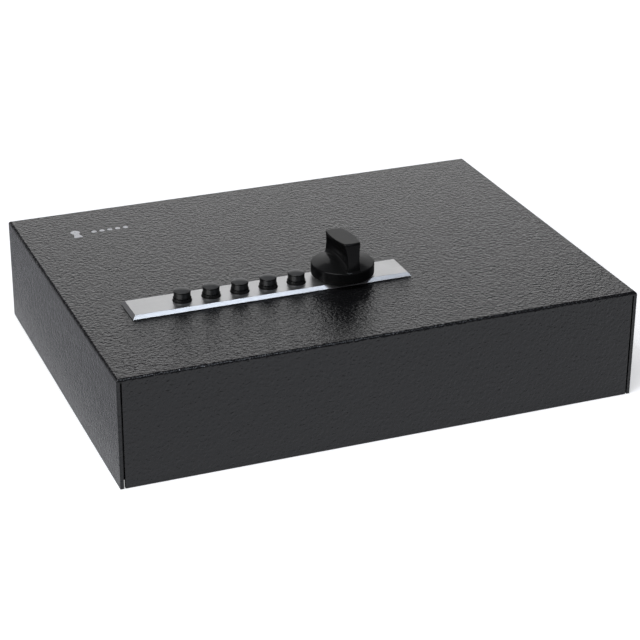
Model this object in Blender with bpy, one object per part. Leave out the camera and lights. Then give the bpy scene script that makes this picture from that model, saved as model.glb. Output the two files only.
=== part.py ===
"""Steel lock box: a base tray and a full-depth lid on a rear piano hinge, with a five-button
mechanical combination lock whose turn knob throws a latch bolt behind the front wall.

World frame: X along the long side, -Y to the front, Z up, origin under the middle of the box.
"""
import math

import bmesh
import bpy
from mathutils import Matrix, Vector

MM = 0.001

# Sheet metal of the lid and the base
BODY_X = 304.8 * MM
BODY_Y = 228.6 * MM
BODY_Z = 64.5 * MM
SHEET = 1.9 * MM
BEND = 1.8 * MM
GAP = 0.3 * MM
SKIRT_LIFT = 0.3 * MM
SKIRT_RISE = 2.0 * MM
SKIRT_RISE_START = 6.0 * MM
SEAM_EDGE = 2.0 * MM
SEAM_WIDTH = 0.9 * MM
SEAM_TOP = 2.2 * MM
TRAY_SIDE_GAP = 1.1 * MM
TRAY_FRONT_Y = -107.0 * MM
TRAY_REAR_Y = 107.8 * MM
TRAY_WALL_Z = 46.0 * MM
TRAY_BEND = 2.5 * MM
CORNER_TAB = 14.0 * MM
MOUNT_HOLE_R = 3.5 * MM
MOUNT_HOLE_X = 120.0 * MM
MOUNT_HOLE_Y = 85.0 * MM
STOP_X = 141.5 * MM
STOP_Y = -98.5 * MM
STOP_R = 4.0 * MM

# Foam pads: in the tray, and under the lid behind the lock
BASE_PAD_X = 146.5 * MM
BASE_PAD_Y = (-100.5 * MM, 104.5 * MM)
BASE_PAD_THICK = 9.9 * MM
LID_PAD_X = 140.0 * MM
LID_PAD_Y = (-12.0 * MM, 98.0 * MM)
LID_PAD_THICK = 12.8 * MM
PAD_EDGE = 3.0 * MM

# Rear piano hinge, hidden between the tray's rear wall and the lid's rear skirt
HINGE_Y = 110.1 * MM
HINGE_Z = 4.4 * MM
HINGE_LENGTH = 260.0 * MM
KNUCKLES = 11
KNUCKLE_R = 2.0 * MM
KNUCKLE_BORE_R = 1.1 * MM
KNUCKLE_END_GAP = 0.2 * MM
HINGE_PIN_R = 0.8 * MM
HINGE_PIN_END = 1.0 * MM
LEAF_TOP_Z = 24.0 * MM
CURL_SWEEP = 290.0
CURL_STEPS = 8
REAR_SKIRT_Z = 3.6 * MM
HEEL_R = 4.2 * MM

# Faceplate and buttons, along one line near the front
LOCK_Y = -37.4 * MM
PLATE_X = (-123.3 * MM, 42.4 * MM)
PLATE_WIDTH = 23.5 * MM
PLATE_THICK = 2.0 * MM
PLATE_BEVEL = 1.85 * MM
PLATE_TOP = BODY_Z + GAP + PLATE_THICK
STUD_X = (-111.0 * MM, 30.8 * MM)
STUD_R = 2.0 * MM
STUD_HOLE_R = 2.4 * MM
STUD_LENGTH = 9.5 * MM
NUT_R = 4.0 * MM
NUT_THICK = 3.0 * MM
BUTTON_COUNT = 5
BUTTON_FIRST_X = -91.4 * MM
BUTTON_PITCH = 16.9 * MM
BUTTON_R = 4.85 * MM
BUTTON_HEIGHT = 6.9 * MM
BUTTON_TRAVEL = 2.7 * MM
DOME_DROP = 1.6 * MM
SHOULDER_R = 6.4 * MM
STEM_R = 1.9 * MM
BUSH_R = 5.4 * MM
BUSH_BORE_R = 5.1 * MM
BUSH_HOLE_R = 5.7 * MM
BUSH_FLANGE_R = 7.2 * MM
BUSH_RISE = 1.8 * MM
BUSH_CHAMFER = 0.2 * MM
FLANGE_THICK = 1.5 * MM

# Knob on its spindle
KNOB_X = 4.4 * MM
KNOB_R = 18.1 * MM
KNOB_LOW = PLATE_TOP + 1.6 * MM
KNOB_RIM = PLATE_TOP + 8.2 * MM
KNOB_CREST = PLATE_TOP + 23.4 * MM
KNOB_TOP_SLOPE = -0.075
KNOB_EDGE = 0.5 * MM
FOOT_CONE = ((14.8 * MM, 0.8 * MM), (11.0 * MM, 1.8 * MM), (0.0, 2.6 * MM))
GRIP_ROOT_REACH = 17.3 * MM
GRIP_TOP_REACH = 15.3 * MM
GRIP_END_W = 4.6 * MM
GRIP_ROOT_DEPTH = 2.0 * MM
GRIP_BULGE = ((0.0, 2.9 * MM), (0.12, 0.9 * MM), (0.3, -1.7 * MM), (0.5, -2.2 * MM),
              (0.7, -1.3 * MM), (0.88, 0.7 * MM), (1.0, 1.9 * MM))
SPINDLE_R = 3.0 * MM
SPINDLE_BORE_R = 3.3 * MM
SPINDLE_BUSH_R = 5.5 * MM
SPINDLE_FLANGE_R = 8.0 * MM
SPINDLE_SOCKET = 8.4 * MM
SPINDLE_EDGE = 0.4 * MM
SPINDLE_NECK_R = 2.2 * MM
CLIP_GROOVE = (0.7 * MM, 1.9 * MM)
CLIP_R = 5.0 * MM
CLIP_BORE_R = 2.5 * MM
CLIP_OPENING = 30
SET_SCREW_R = 1.5 * MM
SET_SCREW_RISE = 4.0 * MM
SET_SCREW_INSET = 3.0 * MM

# Levels under the lid, from the top down
LID_UNDER = BODY_Z - SHEET
MOUNT_PLATE_X = (-119.4 * MM, 39.8 * MM)
MOUNT_PLATE_Z = (LID_UNDER - GAP - 1.3 * MM, LID_UNDER - GAP)
BUSH_FLANGE_Z = MOUNT_PLATE_Z[0] - GAP - FLANGE_THICK
CHAMBER_X = (-104.4 * MM, 22.8 * MM)
CHAMBER_Y = (LOCK_Y - 15.0 * MM, LOCK_Y + 17.0 * MM)
CHAMBER_DEPTH = 23.9 * MM
CHAMBER_TOP = MOUNT_PLATE_Z[0] - GAP
CHAMBER_Z = (CHAMBER_TOP - CHAMBER_DEPTH, CHAMBER_TOP)
CHAMBER_WALL = 1.2 * MM
CHAMBER_EAR = 13.5 * MM
CHAMBER_EAR_HALF_W = 8.0 * MM
SPINDLE_LOW = CHAMBER_Z[0] + 1.6 * MM
WEB_Z = (CHAMBER_TOP - 11.9 * MM, CHAMBER_TOP - 10.7 * MM)
COVER_Z = (CHAMBER_Z[0] - GAP - 1.0 * MM, CHAMBER_Z[0] - GAP)
PARTITION_X = (-7.7 * MM, -6.5 * MM)
COVER_SCREWS = ((-99.4 * MM, LOCK_Y - 9.5 * MM), (17.8 * MM, LOCK_Y - 10.5 * MM))
COVER_SCREW_R = 1.25 * MM
COVER_SCREW_HOLE_R = 1.6 * MM
COVER_SCREW_HEAD_R = 2.6 * MM
COVER_SCREW_HEAD = 1.7 * MM
COVER_SCREW_LENGTH = 6.3 * MM

# Code wheels and the springs above them
ARBOR_Y = LOCK_Y + 4.0 * MM
ARBOR_Z = CHAMBER_Z[0] + 5.7 * MM
ARBOR_R = 1.5 * MM
WHEEL_R = 5.5 * MM
WHEEL_BORE_R = 1.8 * MM
WHEEL_HUB_R = 2.9 * MM
WHEEL_HUB = 8.0 * MM
WHEEL_GATE_R = 3.8 * MM
WHEEL_GATE = math.radians(16)
WHEEL_PIN_CIRCLE = 4.0 * MM
WHEEL_PIN_R = 0.6 * MM
WHEEL_PIN_END = 1.3 * MM
WHEEL_OFFSET = 2.4 * MM
WHEEL_THICK = 1.6 * MM
STEM_END = WEB_Z[0] - 0.6 * MM
FORK_HALF_THICK = 0.8 * MM
FORK_SPINE = 1.3 * MM
FORK_PRONG = 1.5 * MM
FORK_REACH = 2.1 * MM
SPRING_R = 3.3 * MM
SPRING_WIRE_R = 0.25 * MM
SPRING_TURNS = 4
SPRING_STEPS = 8

# Bolt work
RUN_GAP = 0.4 * MM
CRANK_R = 5.3 * MM
CRANK_PIN_R = 1.2 * MM
BOLT_TRAVEL = 7.5 * MM
BOLT_Z = (WEB_Z[1] + 1.6 * MM, WEB_Z[1] + 5.2 * MM)
BOLT_HALF_W = 7.0 * MM
BOLT_TIP_Y = -102.4 * MM
BOLT_TIP_CHAMFER = 1.5 * MM
CARRIAGE_HALF_W = 10.5 * MM
CARRIAGE_Y = (LOCK_Y - 5.6 * MM, LOCK_Y + 14.4 * MM)
CAM_Z = (BOLT_Z[1] + 0.7 * MM, BOLT_Z[1] + 2.9 * MM)
CAM_R = 8.5 * MM
GUIDE_Y = (-92.0 * MM, -80.0 * MM)
GUIDE_SHEET = 1.5 * MM
GUIDE_FOOT = 20.0 * MM
FENCE_Z = (ARBOR_Z - 0.7 * MM, ARBOR_Z + 0.7 * MM)
FENCE_TRAVEL = 2.8 * MM
FENCE_BAR = 2.2 * MM
FENCE_WINDOW = (8.4 * MM, 6.35 * MM)
FENCE_FRAME = 2.1 * MM
FENCE_REAR_GAP = 1.0 * MM
FENCE_SLOT = 0.5 * MM
ECCENTRIC_R = 6.0 * MM
STRIKE_HALF_W = 17.0 * MM
STRIKE_Y = (-104.8 * MM, -103.3 * MM)
STRIKE_Z = (30.0 * MM, BOLT_Z[1] + 4.2 * MM)
STRIKE_SLOT_GAP = 0.6 * MM
RIVET_X = 12.0 * MM
RIVET_Z = 36.0 * MM
RIVET_R = 1.25 * MM
RIVET_HOLE_R = 1.6 * MM
RIVET_HEAD_R = 2.6 * MM
RIVET_CROWN_R = 1.8 * MM
RIVET_HEAD = 1.0 * MM

# Facets of round work, how far a cutter passes the face it cuts, and when two heights agree
ROUND = 20
SMALL_ROUND = 12
PIN_ROUND = 8
KNOB_ROUND = 28
EPS = 2.0 * MM
SAME = 0.001 * MM


def clear_scene():
    """Remove everything that is in the file."""
    for obj in list(bpy.data.objects):
        bpy.data.objects.remove(obj, do_unlink=True)


def material(name, colour, roughness, metallic=0.0):
    """Principled material with one colour, roughness and metallic value."""
    mat = bpy.data.materials.new(name)
    mat.use_nodes = True
    shader = mat.node_tree.nodes["Principled BSDF"]
    shader.inputs["Base Color"].default_value = (*colour, 1.0)
    shader.inputs["Roughness"].default_value = roughness
    shader.inputs["Metallic"].default_value = metallic
    return mat


def make_object(name, bm, mat, origin=(0, 0, 0), parent=None, smooth=None):
    """Turn world-space geometry into an object whose origin lies at the given point."""
    bmesh.ops.recalc_face_normals(bm, faces=bm.faces)
    shift = Matrix.Translation(-Vector(origin))
    bmesh.ops.transform(bm, matrix=shift, verts=bm.verts)
    mesh = bpy.data.meshes.new(name)
    bm.to_mesh(mesh)
    bm.free()
    if mat:
        mesh.materials.append(mat)
    if smooth:
        mesh.shade_smooth()
        mesh.set_sharp_from_angle(angle=math.radians(smooth))
    obj = bpy.data.objects.new(name, mesh)
    bpy.context.collection.objects.link(obj)
    obj.location = origin
    if parent:
        obj.parent = parent
        obj.matrix_parent_inverse = Matrix.Translation(-parent.location)
    return obj


def make_axis(name, location, parent=None):
    """Empty that marks a joint's axis and carries the pieces that turn or slide on it."""
    axis = bpy.data.objects.new(name, None)
    axis.empty_display_size = 0.01
    bpy.context.collection.objects.link(axis)
    axis.location = location
    if parent:
        axis.parent = parent
        axis.matrix_parent_inverse = Matrix.Translation(-parent.location)
    return axis


def boolean(obj, kind, bm):
    """Add a Boolean modifier to the object, with the geometry as its hidden operand."""
    tool = make_object(obj.name + "_" + kind.lower(), bm, None)
    tool.hide_render = True
    tool.display_type = "WIRE"
    modifier = obj.modifiers.new(kind.title(), "BOOLEAN")
    modifier.operation = kind
    modifier.object = tool
    return tool


def add_box(bm, x, y, z):
    """Box between pairs of X, Y and Z limits. Returns its faces."""
    corners = [Vector((a, b, c)) for c in z for b in y for a in x]
    verts = [bm.verts.new(corner) for corner in corners]
    loops = ((0, 2, 3, 1), (4, 5, 7, 6), (0, 1, 5, 4), (2, 6, 7, 3), (0, 4, 6, 2), (1, 3, 7, 5))
    return [bm.faces.new([verts[i] for i in loop]) for loop in loops]


def add_prism(bm, outline, axis, low, high):
    """Extrude a closed outline of pairs along X, Y or Z, between two heights."""
    order = {"X": lambda a, b, h: (h, a, b), "Y": lambda a, b, h: (a, h, b),
             "Z": lambda a, b, h: (a, b, h)}[axis]
    rings = []
    for height in (low, high):
        rings.append([bm.verts.new(order(a, b, height)) for a, b in outline])
    count = len(outline)
    for i in range(count):
        j = (i + 1) % count
        bm.faces.new((rings[0][i], rings[0][j], rings[1][j], rings[1][i]))
    bm.faces.new(rings[0][::-1])
    bm.faces.new(rings[1])


def circle(cx, cy, radius, sides, phase=0.0):
    """Points round a circle."""
    step = 2 * math.pi / sides
    return [(cx + radius * math.cos(phase + i * step), cy + radius * math.sin(phase + i * step))
            for i in range(sides)]


def add_rod(bm, centre, radius, low, high, axis="Z", sides=ROUND):
    """Round bar along an axis, its centre given by the two other coordinates."""
    add_prism(bm, circle(centre[0], centre[1], radius, sides), axis, low, high)


def add_turned(bm, centre, profile, sides=ROUND):
    """Revolve a profile of (radius, height) pairs about a vertical line. A closed profile makes
    a ring; one that starts and ends at radius 0 makes a solid."""
    rings = []
    for radius, height in profile:
        if radius == 0:
            rings.append([bm.verts.new((centre[0], centre[1], height))])
        else:
            ring = circle(centre[0], centre[1], radius, sides)
            rings.append([bm.verts.new((x, y, height)) for x, y in ring])
    solid = profile[0][0] == 0
    last = len(rings) - 1 if solid else len(rings)
    for k in range(last):
        lower, upper = rings[k], rings[(k + 1) % len(rings)]
        for i in range(sides):
            j = (i + 1) % sides
            face = []
            face += [lower[0]] if len(lower) == 1 else [lower[i], lower[j]]
            face += [upper[0]] if len(upper) == 1 else [upper[j], upper[i]]
            bm.faces.new(face)


def rounded_box(x, y, z, radius, segments, open_side):
    """Box with every edge rounded but those round its open side, which is top or bottom."""
    bm = bmesh.new()
    add_box(bm, x, y, z)
    level = z[1] if open_side == "top" else z[0]
    edges = [e for e in bm.edges if not all(abs(v.co.z - level) < SAME for v in e.verts)]
    bmesh.ops.bevel(bm, geom=edges, offset=radius, segments=segments, profile=0.5,
                    affect="EDGES")
    return bm


def bevelled_top(x, y, z, width, segments):
    """Box whose four upper edges are bevelled, its upright corners left sharp."""
    bm = bmesh.new()
    add_box(bm, x, y, z)
    rim = [e for e in bm.edges if all(abs(v.co.z - z[1]) < SAME for v in e.verts)]
    bmesh.ops.bevel(bm, geom=rim, offset=width, segments=segments, profile=0.5, affect="EDGES")
    return bm


def button_x(index):
    """X of a button's axis."""
    return BUTTON_FIRST_X + index * BUTTON_PITCH


# ---------------------------------------------------------------- base

def make_base_tray(steel):
    """Folded tray: floor, four low walls and a stop tab in each front corner."""
    half_x = BODY_X / 2 - SHEET - TRAY_SIDE_GAP
    outer = rounded_box((-half_x, half_x), (TRAY_FRONT_Y, TRAY_REAR_Y), (0, TRAY_WALL_Z),
                        TRAY_BEND, 3, "top")
    tray = make_object("base_tray", outer, steel, smooth=40)
    inner = rounded_box((-half_x + SHEET, half_x - SHEET),
                        (TRAY_FRONT_Y + SHEET, TRAY_REAR_Y - SHEET),
                        (SHEET, TRAY_WALL_Z + EPS), TRAY_BEND - SHEET, 1, "top")
    boolean(tray, "DIFFERENCE", inner)
    tabs = bmesh.new()
    for side in (-1, 1):
        edge = side * (half_x - SHEET / 2)
        x = sorted((edge, edge - side * (CORNER_TAB + SHEET / 2)))
        y = (TRAY_FRONT_Y + SHEET / 2, TRAY_FRONT_Y + SHEET + CORNER_TAB)
        add_box(tabs, x, y, (TRAY_WALL_Z - SHEET, TRAY_WALL_Z))
    boolean(tray, "UNION", tabs)
    holes = bmesh.new()
    for sx in (-1, 1):
        for sy in (-1, 1):
            add_rod(holes, (sx * MOUNT_HOLE_X, sy * MOUNT_HOLE_Y), MOUNT_HOLE_R, -EPS,
                    SHEET + EPS, sides=SMALL_ROUND)
        add_rod(holes, (KNOB_X + sx * RIVET_X, RIVET_Z), RIVET_HOLE_R, TRAY_FRONT_Y - EPS,
                TRAY_FRONT_Y + SHEET + EPS, axis="Y", sides=SMALL_ROUND)
    tool = boolean(tray, "DIFFERENCE", holes)
    tool.name = "base_tray_holes"
    return tray


def make_foam_pads(foam, lid_axis):
    """Plain blocks of foam in the tray and under the lid."""
    low = SHEET + RUN_GAP
    bm = rounded_box((-BASE_PAD_X, BASE_PAD_X), BASE_PAD_Y, (low, low + BASE_PAD_THICK),
                     PAD_EDGE, 2, "bottom")
    make_object("base_foam_pad", bm, foam, smooth=40)
    high = LID_UNDER - GAP
    bm = rounded_box((-LID_PAD_X, LID_PAD_X), LID_PAD_Y, (high - LID_PAD_THICK, high),
                     PAD_EDGE, 2, "top")
    make_object("lid_foam_pad", bm, foam, parent=lid_axis, smooth=40)


def leaf_outline(direction):
    """Side view of a hinge leaf: a flat strip that curls under and round the pin. The
    direction is -1 for the leaf in front of the pin and +1 for the leaf behind it."""
    inner = []
    outer = []
    for k in range(CURL_STEPS + 1):
        angle = math.radians(180 + CURL_SWEEP * k / CURL_STEPS)
        for points, radius in ((outer, KNUCKLE_R), (inner, KNUCKLE_BORE_R)):
            y = HINGE_Y - direction * radius * math.cos(angle)
            points.append((y, HINGE_Z + radius * math.sin(angle)))
    strip_outer = HINGE_Y + direction * KNUCKLE_R
    strip_inner = HINGE_Y + direction * KNUCKLE_BORE_R
    return [(strip_outer, LEAF_TOP_Z)] + outer + inner[::-1] + [(strip_inner, LEAF_TOP_Z)]


def make_leaf(name, direction, missing, steel, parent=None):
    """Hinge leaf whose knuckles of the given parity are cut away."""
    bm = bmesh.new()
    half = HINGE_LENGTH / 2
    add_prism(bm, leaf_outline(direction), "X", -half, half)
    leaf = make_object(name, bm, steel, parent=parent, smooth=40)
    notches = bmesh.new()
    pitch = HINGE_LENGTH / KNUCKLES
    reach = KNUCKLE_R + RUN_GAP
    for k in range(missing, KNUCKLES, 2):
        x0 = -half + k * pitch - KNUCKLE_END_GAP
        x1 = x0 + pitch + 2 * KNUCKLE_END_GAP
        add_box(notches, (x0, x1), (HINGE_Y - reach, HINGE_Y + reach),
                (HINGE_Z - reach, HINGE_Z + reach))
    boolean(leaf, "DIFFERENCE", notches)
    return leaf


def make_hinge_pin(steel):
    """Wire that runs through every knuckle."""
    bm = bmesh.new()
    reach = HINGE_LENGTH / 2 + HINGE_PIN_END
    add_rod(bm, (HINGE_Y, HINGE_Z), HINGE_PIN_R, -reach, reach, axis="X", sides=SMALL_ROUND)
    make_object("hinge_pin", bm, steel, origin=(0, HINGE_Y, HINGE_Z), smooth=40)


def make_strike(steel):
    """Upright bracket inside the front wall, with the slot that the bolt enters."""
    bm = bmesh.new()
    add_box(bm, (KNOB_X - STRIKE_HALF_W, KNOB_X + STRIKE_HALF_W), STRIKE_Y, STRIKE_Z)
    strike = make_object("strike_bracket", bm, steel)
    cut = bmesh.new()
    y = (STRIKE_Y[0] - EPS, STRIKE_Y[1] + EPS)
    slot_half = BOLT_HALF_W + STRIKE_SLOT_GAP
    add_box(cut, (KNOB_X - slot_half, KNOB_X + slot_half), y,
            (BOLT_Z[0] - STRIKE_SLOT_GAP, BOLT_Z[1] + STRIKE_SLOT_GAP))
    for side in (-1, 1):
        add_rod(cut, (KNOB_X + side * RIVET_X, RIVET_Z), RIVET_HOLE_R, y[0], y[1], axis="Y",
                sides=SMALL_ROUND)
    boolean(strike, "DIFFERENCE", cut)
    for side, name in ((-1, "strike_rivet_left"), (1, "strike_rivet_right")):
        make_rivet(name, KNOB_X + side * RIVET_X, steel)


def make_rivet(name, x, steel):
    """Round-headed rivet through the front wall and the strike bracket, heads at both ends."""
    bm = bmesh.new()
    front = TRAY_FRONT_Y - GAP
    back = STRIKE_Y[1] + GAP
    edge = 0.9 * RIVET_HEAD
    profile = [(0, front - RIVET_HEAD), (RIVET_CROWN_R, front - edge), (RIVET_HEAD_R, front),
               (RIVET_R, front), (RIVET_R, back), (RIVET_HEAD_R, back),
               (RIVET_CROWN_R, back + edge), (0, back + RIVET_HEAD)]
    add_turned(bm, (0, 0), profile, SMALL_ROUND)
    turn = Matrix.Translation((x, 0, RIVET_Z)) @ Matrix.Rotation(math.radians(-90), 4, "X")
    bmesh.ops.transform(bm, matrix=turn, verts=bm.verts)
    make_object(name, bm, steel, smooth=40)


# ---------------------------------------------------------------- lid

def make_lid_shell(steel, lid_axis):
    """Five-sided cover: top and four skirts, with open seams beside the front corners, side
    skirts that rise a little to the rear, and a rear skirt trimmed above the hinge."""
    half_x = BODY_X / 2
    half_y = BODY_Y / 2
    outer = bevelled_top((-half_x, half_x), (-half_y, half_y), (SKIRT_LIFT, BODY_Z), BEND, 4)
    lid = make_object("lid_shell", outer, steel, origin=(0, HINGE_Y, HINGE_Z), parent=lid_axis,
                      smooth=40)
    inner = bmesh.new()
    add_box(inner, (-half_x + SHEET, half_x - SHEET), (-half_y + SHEET, half_y - SHEET),
            (-EPS, LID_UNDER))
    boolean(lid, "DIFFERENCE", inner)
    seams = bmesh.new()
    for side in (-1, 1):
        edge = side * (half_x - SEAM_EDGE)
        x = sorted((edge, edge - side * SEAM_WIDTH))
        add_box(seams, x, (-half_y - EPS, -half_y + SHEET + EPS), (-EPS, BODY_Z - SEAM_TOP))
    boolean(lid, "DIFFERENCE", seams).name = "lid_shell_seams"
    taper = bmesh.new()
    start = -half_y + SKIRT_RISE_START
    outline = [(start, -EPS), (half_y + EPS, -EPS), (half_y + EPS, SKIRT_LIFT + SKIRT_RISE),
               (start, SKIRT_LIFT - SKIRT_RISE / 50)]
    add_prism(taper, outline, "X", -half_x - EPS, half_x + EPS)
    boolean(lid, "DIFFERENCE", taper).name = "lid_shell_taper"
    trim = bmesh.new()
    trim_half = half_x - SHEET - 2 * GAP
    add_box(trim, (-trim_half, trim_half), (HINGE_Y + HINGE_PIN_R, half_y + EPS),
            (-EPS, REAR_SKIRT_Z))
    boolean(lid, "DIFFERENCE", trim).name = "lid_shell_trim"
    heel = bmesh.new()
    outline = [(HINGE_Y + HEEL_R * math.cos(a), HINGE_Z + HEEL_R * math.sin(a))
               for a in (math.radians(-90 + 15 * k) for k in range(7))]
    outline += [(half_y + EPS, HINGE_Z), (half_y + EPS, -EPS), (HINGE_Y, -EPS)]
    add_prism(heel, outline, "X", -half_x - EPS, half_x + EPS)
    boolean(lid, "DIFFERENCE", heel).name = "lid_shell_heel"
    holes = bmesh.new()
    add_lock_holes(holes, LID_UNDER - EPS, BODY_Z + EPS)
    boolean(lid, "DIFFERENCE", holes).name = "lid_shell_holes"


def add_lock_holes(bm, low, high):
    """Cutters for the five bushes, the spindle bush and the two studs."""
    for index in range(BUTTON_COUNT):
        add_rod(bm, (button_x(index), LOCK_Y), BUSH_HOLE_R, low, high, sides=SMALL_ROUND)
    add_rod(bm, (KNOB_X, LOCK_Y), SPINDLE_BUSH_R + GAP, low, high, sides=SMALL_ROUND)
    for x in STUD_X:
        add_rod(bm, (x, LOCK_Y), STUD_HOLE_R, low, high, sides=SMALL_ROUND)


def make_faceplate(aluminium, lid_axis):
    """Bright bar with a bevelled rim and two threaded studs under it."""
    y = (LOCK_Y - PLATE_WIDTH / 2, LOCK_Y + PLATE_WIDTH / 2)
    bm = bevelled_top(PLATE_X, y, (BODY_Z + GAP, PLATE_TOP), PLATE_BEVEL, 1)
    plate = make_object("faceplate", bm, aluminium, parent=lid_axis)
    studs = bmesh.new()
    for x in STUD_X:
        add_rod(studs, (x, LOCK_Y), STUD_R, BODY_Z - STUD_LENGTH, BODY_Z + PLATE_THICK / 2,
                sides=SMALL_ROUND)
    boolean(plate, "UNION", studs)
    holes = bmesh.new()
    for index in range(BUTTON_COUNT):
        add_rod(holes, (button_x(index), LOCK_Y), BUSH_HOLE_R, BODY_Z - EPS, PLATE_TOP + EPS,
                sides=SMALL_ROUND)
    add_rod(holes, (KNOB_X, LOCK_Y), SPINDLE_BUSH_R + GAP, BODY_Z - EPS, PLATE_TOP + EPS,
            sides=SMALL_ROUND)
    boolean(plate, "DIFFERENCE", holes)


def make_nut(name, x, steel, lid_axis):
    """Hexagon nut on a faceplate stud, under the lock chamber's ear."""
    bm = bmesh.new()
    high = CHAMBER_Z[1] - CHAMBER_WALL - GAP
    add_prism(bm, circle(x, LOCK_Y, NUT_R, 6), "Z", high - NUT_THICK, high)
    nut = make_object(name, bm, steel, parent=lid_axis)
    bore = bmesh.new()
    add_rod(bore, (x, LOCK_Y), STUD_R + GAP, high - NUT_THICK - EPS, high + EPS,
            sides=SMALL_ROUND)
    boolean(nut, "DIFFERENCE", bore)


def make_mount_plate(steel, lid_axis):
    """Flat plate that spreads the lock's load under the lid."""
    bm = bmesh.new()
    add_box(bm, MOUNT_PLATE_X, CHAMBER_Y, MOUNT_PLATE_Z)
    plate = make_object("lock_mounting_plate", bm, steel, parent=lid_axis)
    holes = bmesh.new()
    add_lock_holes(holes, MOUNT_PLATE_Z[0] - EPS, MOUNT_PLATE_Z[1] + EPS)
    boolean(plate, "DIFFERENCE", holes)


def make_button_bush(index, steel, lid_axis):
    """Sleeve that guides a button, with its flange clamped below the mounting plate."""
    x = button_x(index)
    flange_top = BUSH_FLANGE_Z + FLANGE_THICK
    top = PLATE_TOP + BUSH_RISE
    profile = [(BUSH_BORE_R, BUSH_FLANGE_Z), (BUSH_FLANGE_R, BUSH_FLANGE_Z),
               (BUSH_FLANGE_R, flange_top), (BUSH_R, flange_top), (BUSH_R, top - BUSH_CHAMFER),
               (BUSH_R - BUSH_CHAMFER, top), (BUSH_BORE_R, top)]
    bm = bmesh.new()
    add_turned(bm, (x, LOCK_Y), profile)
    make_object("button_bush_%d" % (index + 1), bm, steel, origin=(x, LOCK_Y, top),
                parent=lid_axis, smooth=40)


def make_button(index, plastic, lid_axis):
    """Domed button, shoulder and stem, with a fork that works the code wheel's pin."""
    x = button_x(index)
    axis = make_axis("button_axis_%d" % (index + 1), (x, LOCK_Y, PLATE_TOP), lid_axis)
    top = PLATE_TOP + BUTTON_HEIGHT
    shoulder = BUSH_FLANGE_Z - GAP
    profile = [(0, top)]
    profile += [(share * BUTTON_R, top - DOME_DROP * share ** 3) for share in (0.55, 0.85, 1.0)]
    profile += [(BUTTON_R, shoulder), (SHOULDER_R, shoulder),
                (SHOULDER_R, shoulder - FLANGE_THICK), (STEM_R, shoulder - FLANGE_THICK),
                (STEM_R, STEM_END), (0, STEM_END)]
    bm = bmesh.new()
    add_turned(bm, (x, LOCK_Y), profile)
    button = make_object("push_button_%d" % (index + 1), bm, plastic,
                         origin=(x, LOCK_Y, PLATE_TOP), parent=axis, smooth=40)
    fork = bmesh.new()
    pin_y = ARBOR_Y - WHEEL_PIN_CIRCLE
    pin_z = ARBOR_Z + BUTTON_TRAVEL / 2
    slot = WHEEL_PIN_R + GAP
    y0 = pin_y - slot - FORK_SPINE
    y1 = LOCK_Y + FORK_REACH
    low = pin_z - slot - FORK_PRONG
    high = STEM_END + GAP
    outline = [(y0, low), (y1, low), (y1, pin_z - slot), (pin_y - slot, pin_z - slot),
               (pin_y - slot, pin_z + slot), (y1, pin_z + slot), (y1, high), (y0, high)]
    add_prism(fork, outline, "X", x - FORK_HALF_THICK, x + FORK_HALF_THICK)
    boolean(button, "UNION", fork)


def make_button_spring(index, steel, lid_axis):
    """Return spring between a button's shoulder and the chamber's web."""
    x = button_x(index)
    low = WEB_Z[1] + GAP + SPRING_WIRE_R
    high = BUSH_FLANGE_Z - GAP - FLANGE_THICK - GAP - SPRING_WIRE_R
    count = SPRING_TURNS * SPRING_STEPS
    curve = bpy.data.curves.new("button_spring_%d" % (index + 1), "CURVE")
    curve.dimensions = "3D"
    curve.bevel_depth = SPRING_WIRE_R
    curve.bevel_resolution = 0
    curve.use_fill_caps = True
    curve.materials.append(steel)
    spline = curve.splines.new("POLY")
    spline.points.add(count)
    for i in range(count + 1):
        angle = 2 * math.pi * i / SPRING_STEPS
        height = (high - low) * i / count
        spline.points[i].co = (SPRING_R * math.cos(angle), SPRING_R * math.sin(angle), height, 1)
    spring = bpy.data.objects.new("button_spring_%d" % (index + 1), curve)
    bpy.context.collection.objects.link(spring)
    spring.location = (x, LOCK_Y, low)
    spring.parent = lid_axis
    spring.matrix_parent_inverse = Matrix.Translation(-lid_axis.location)


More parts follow.
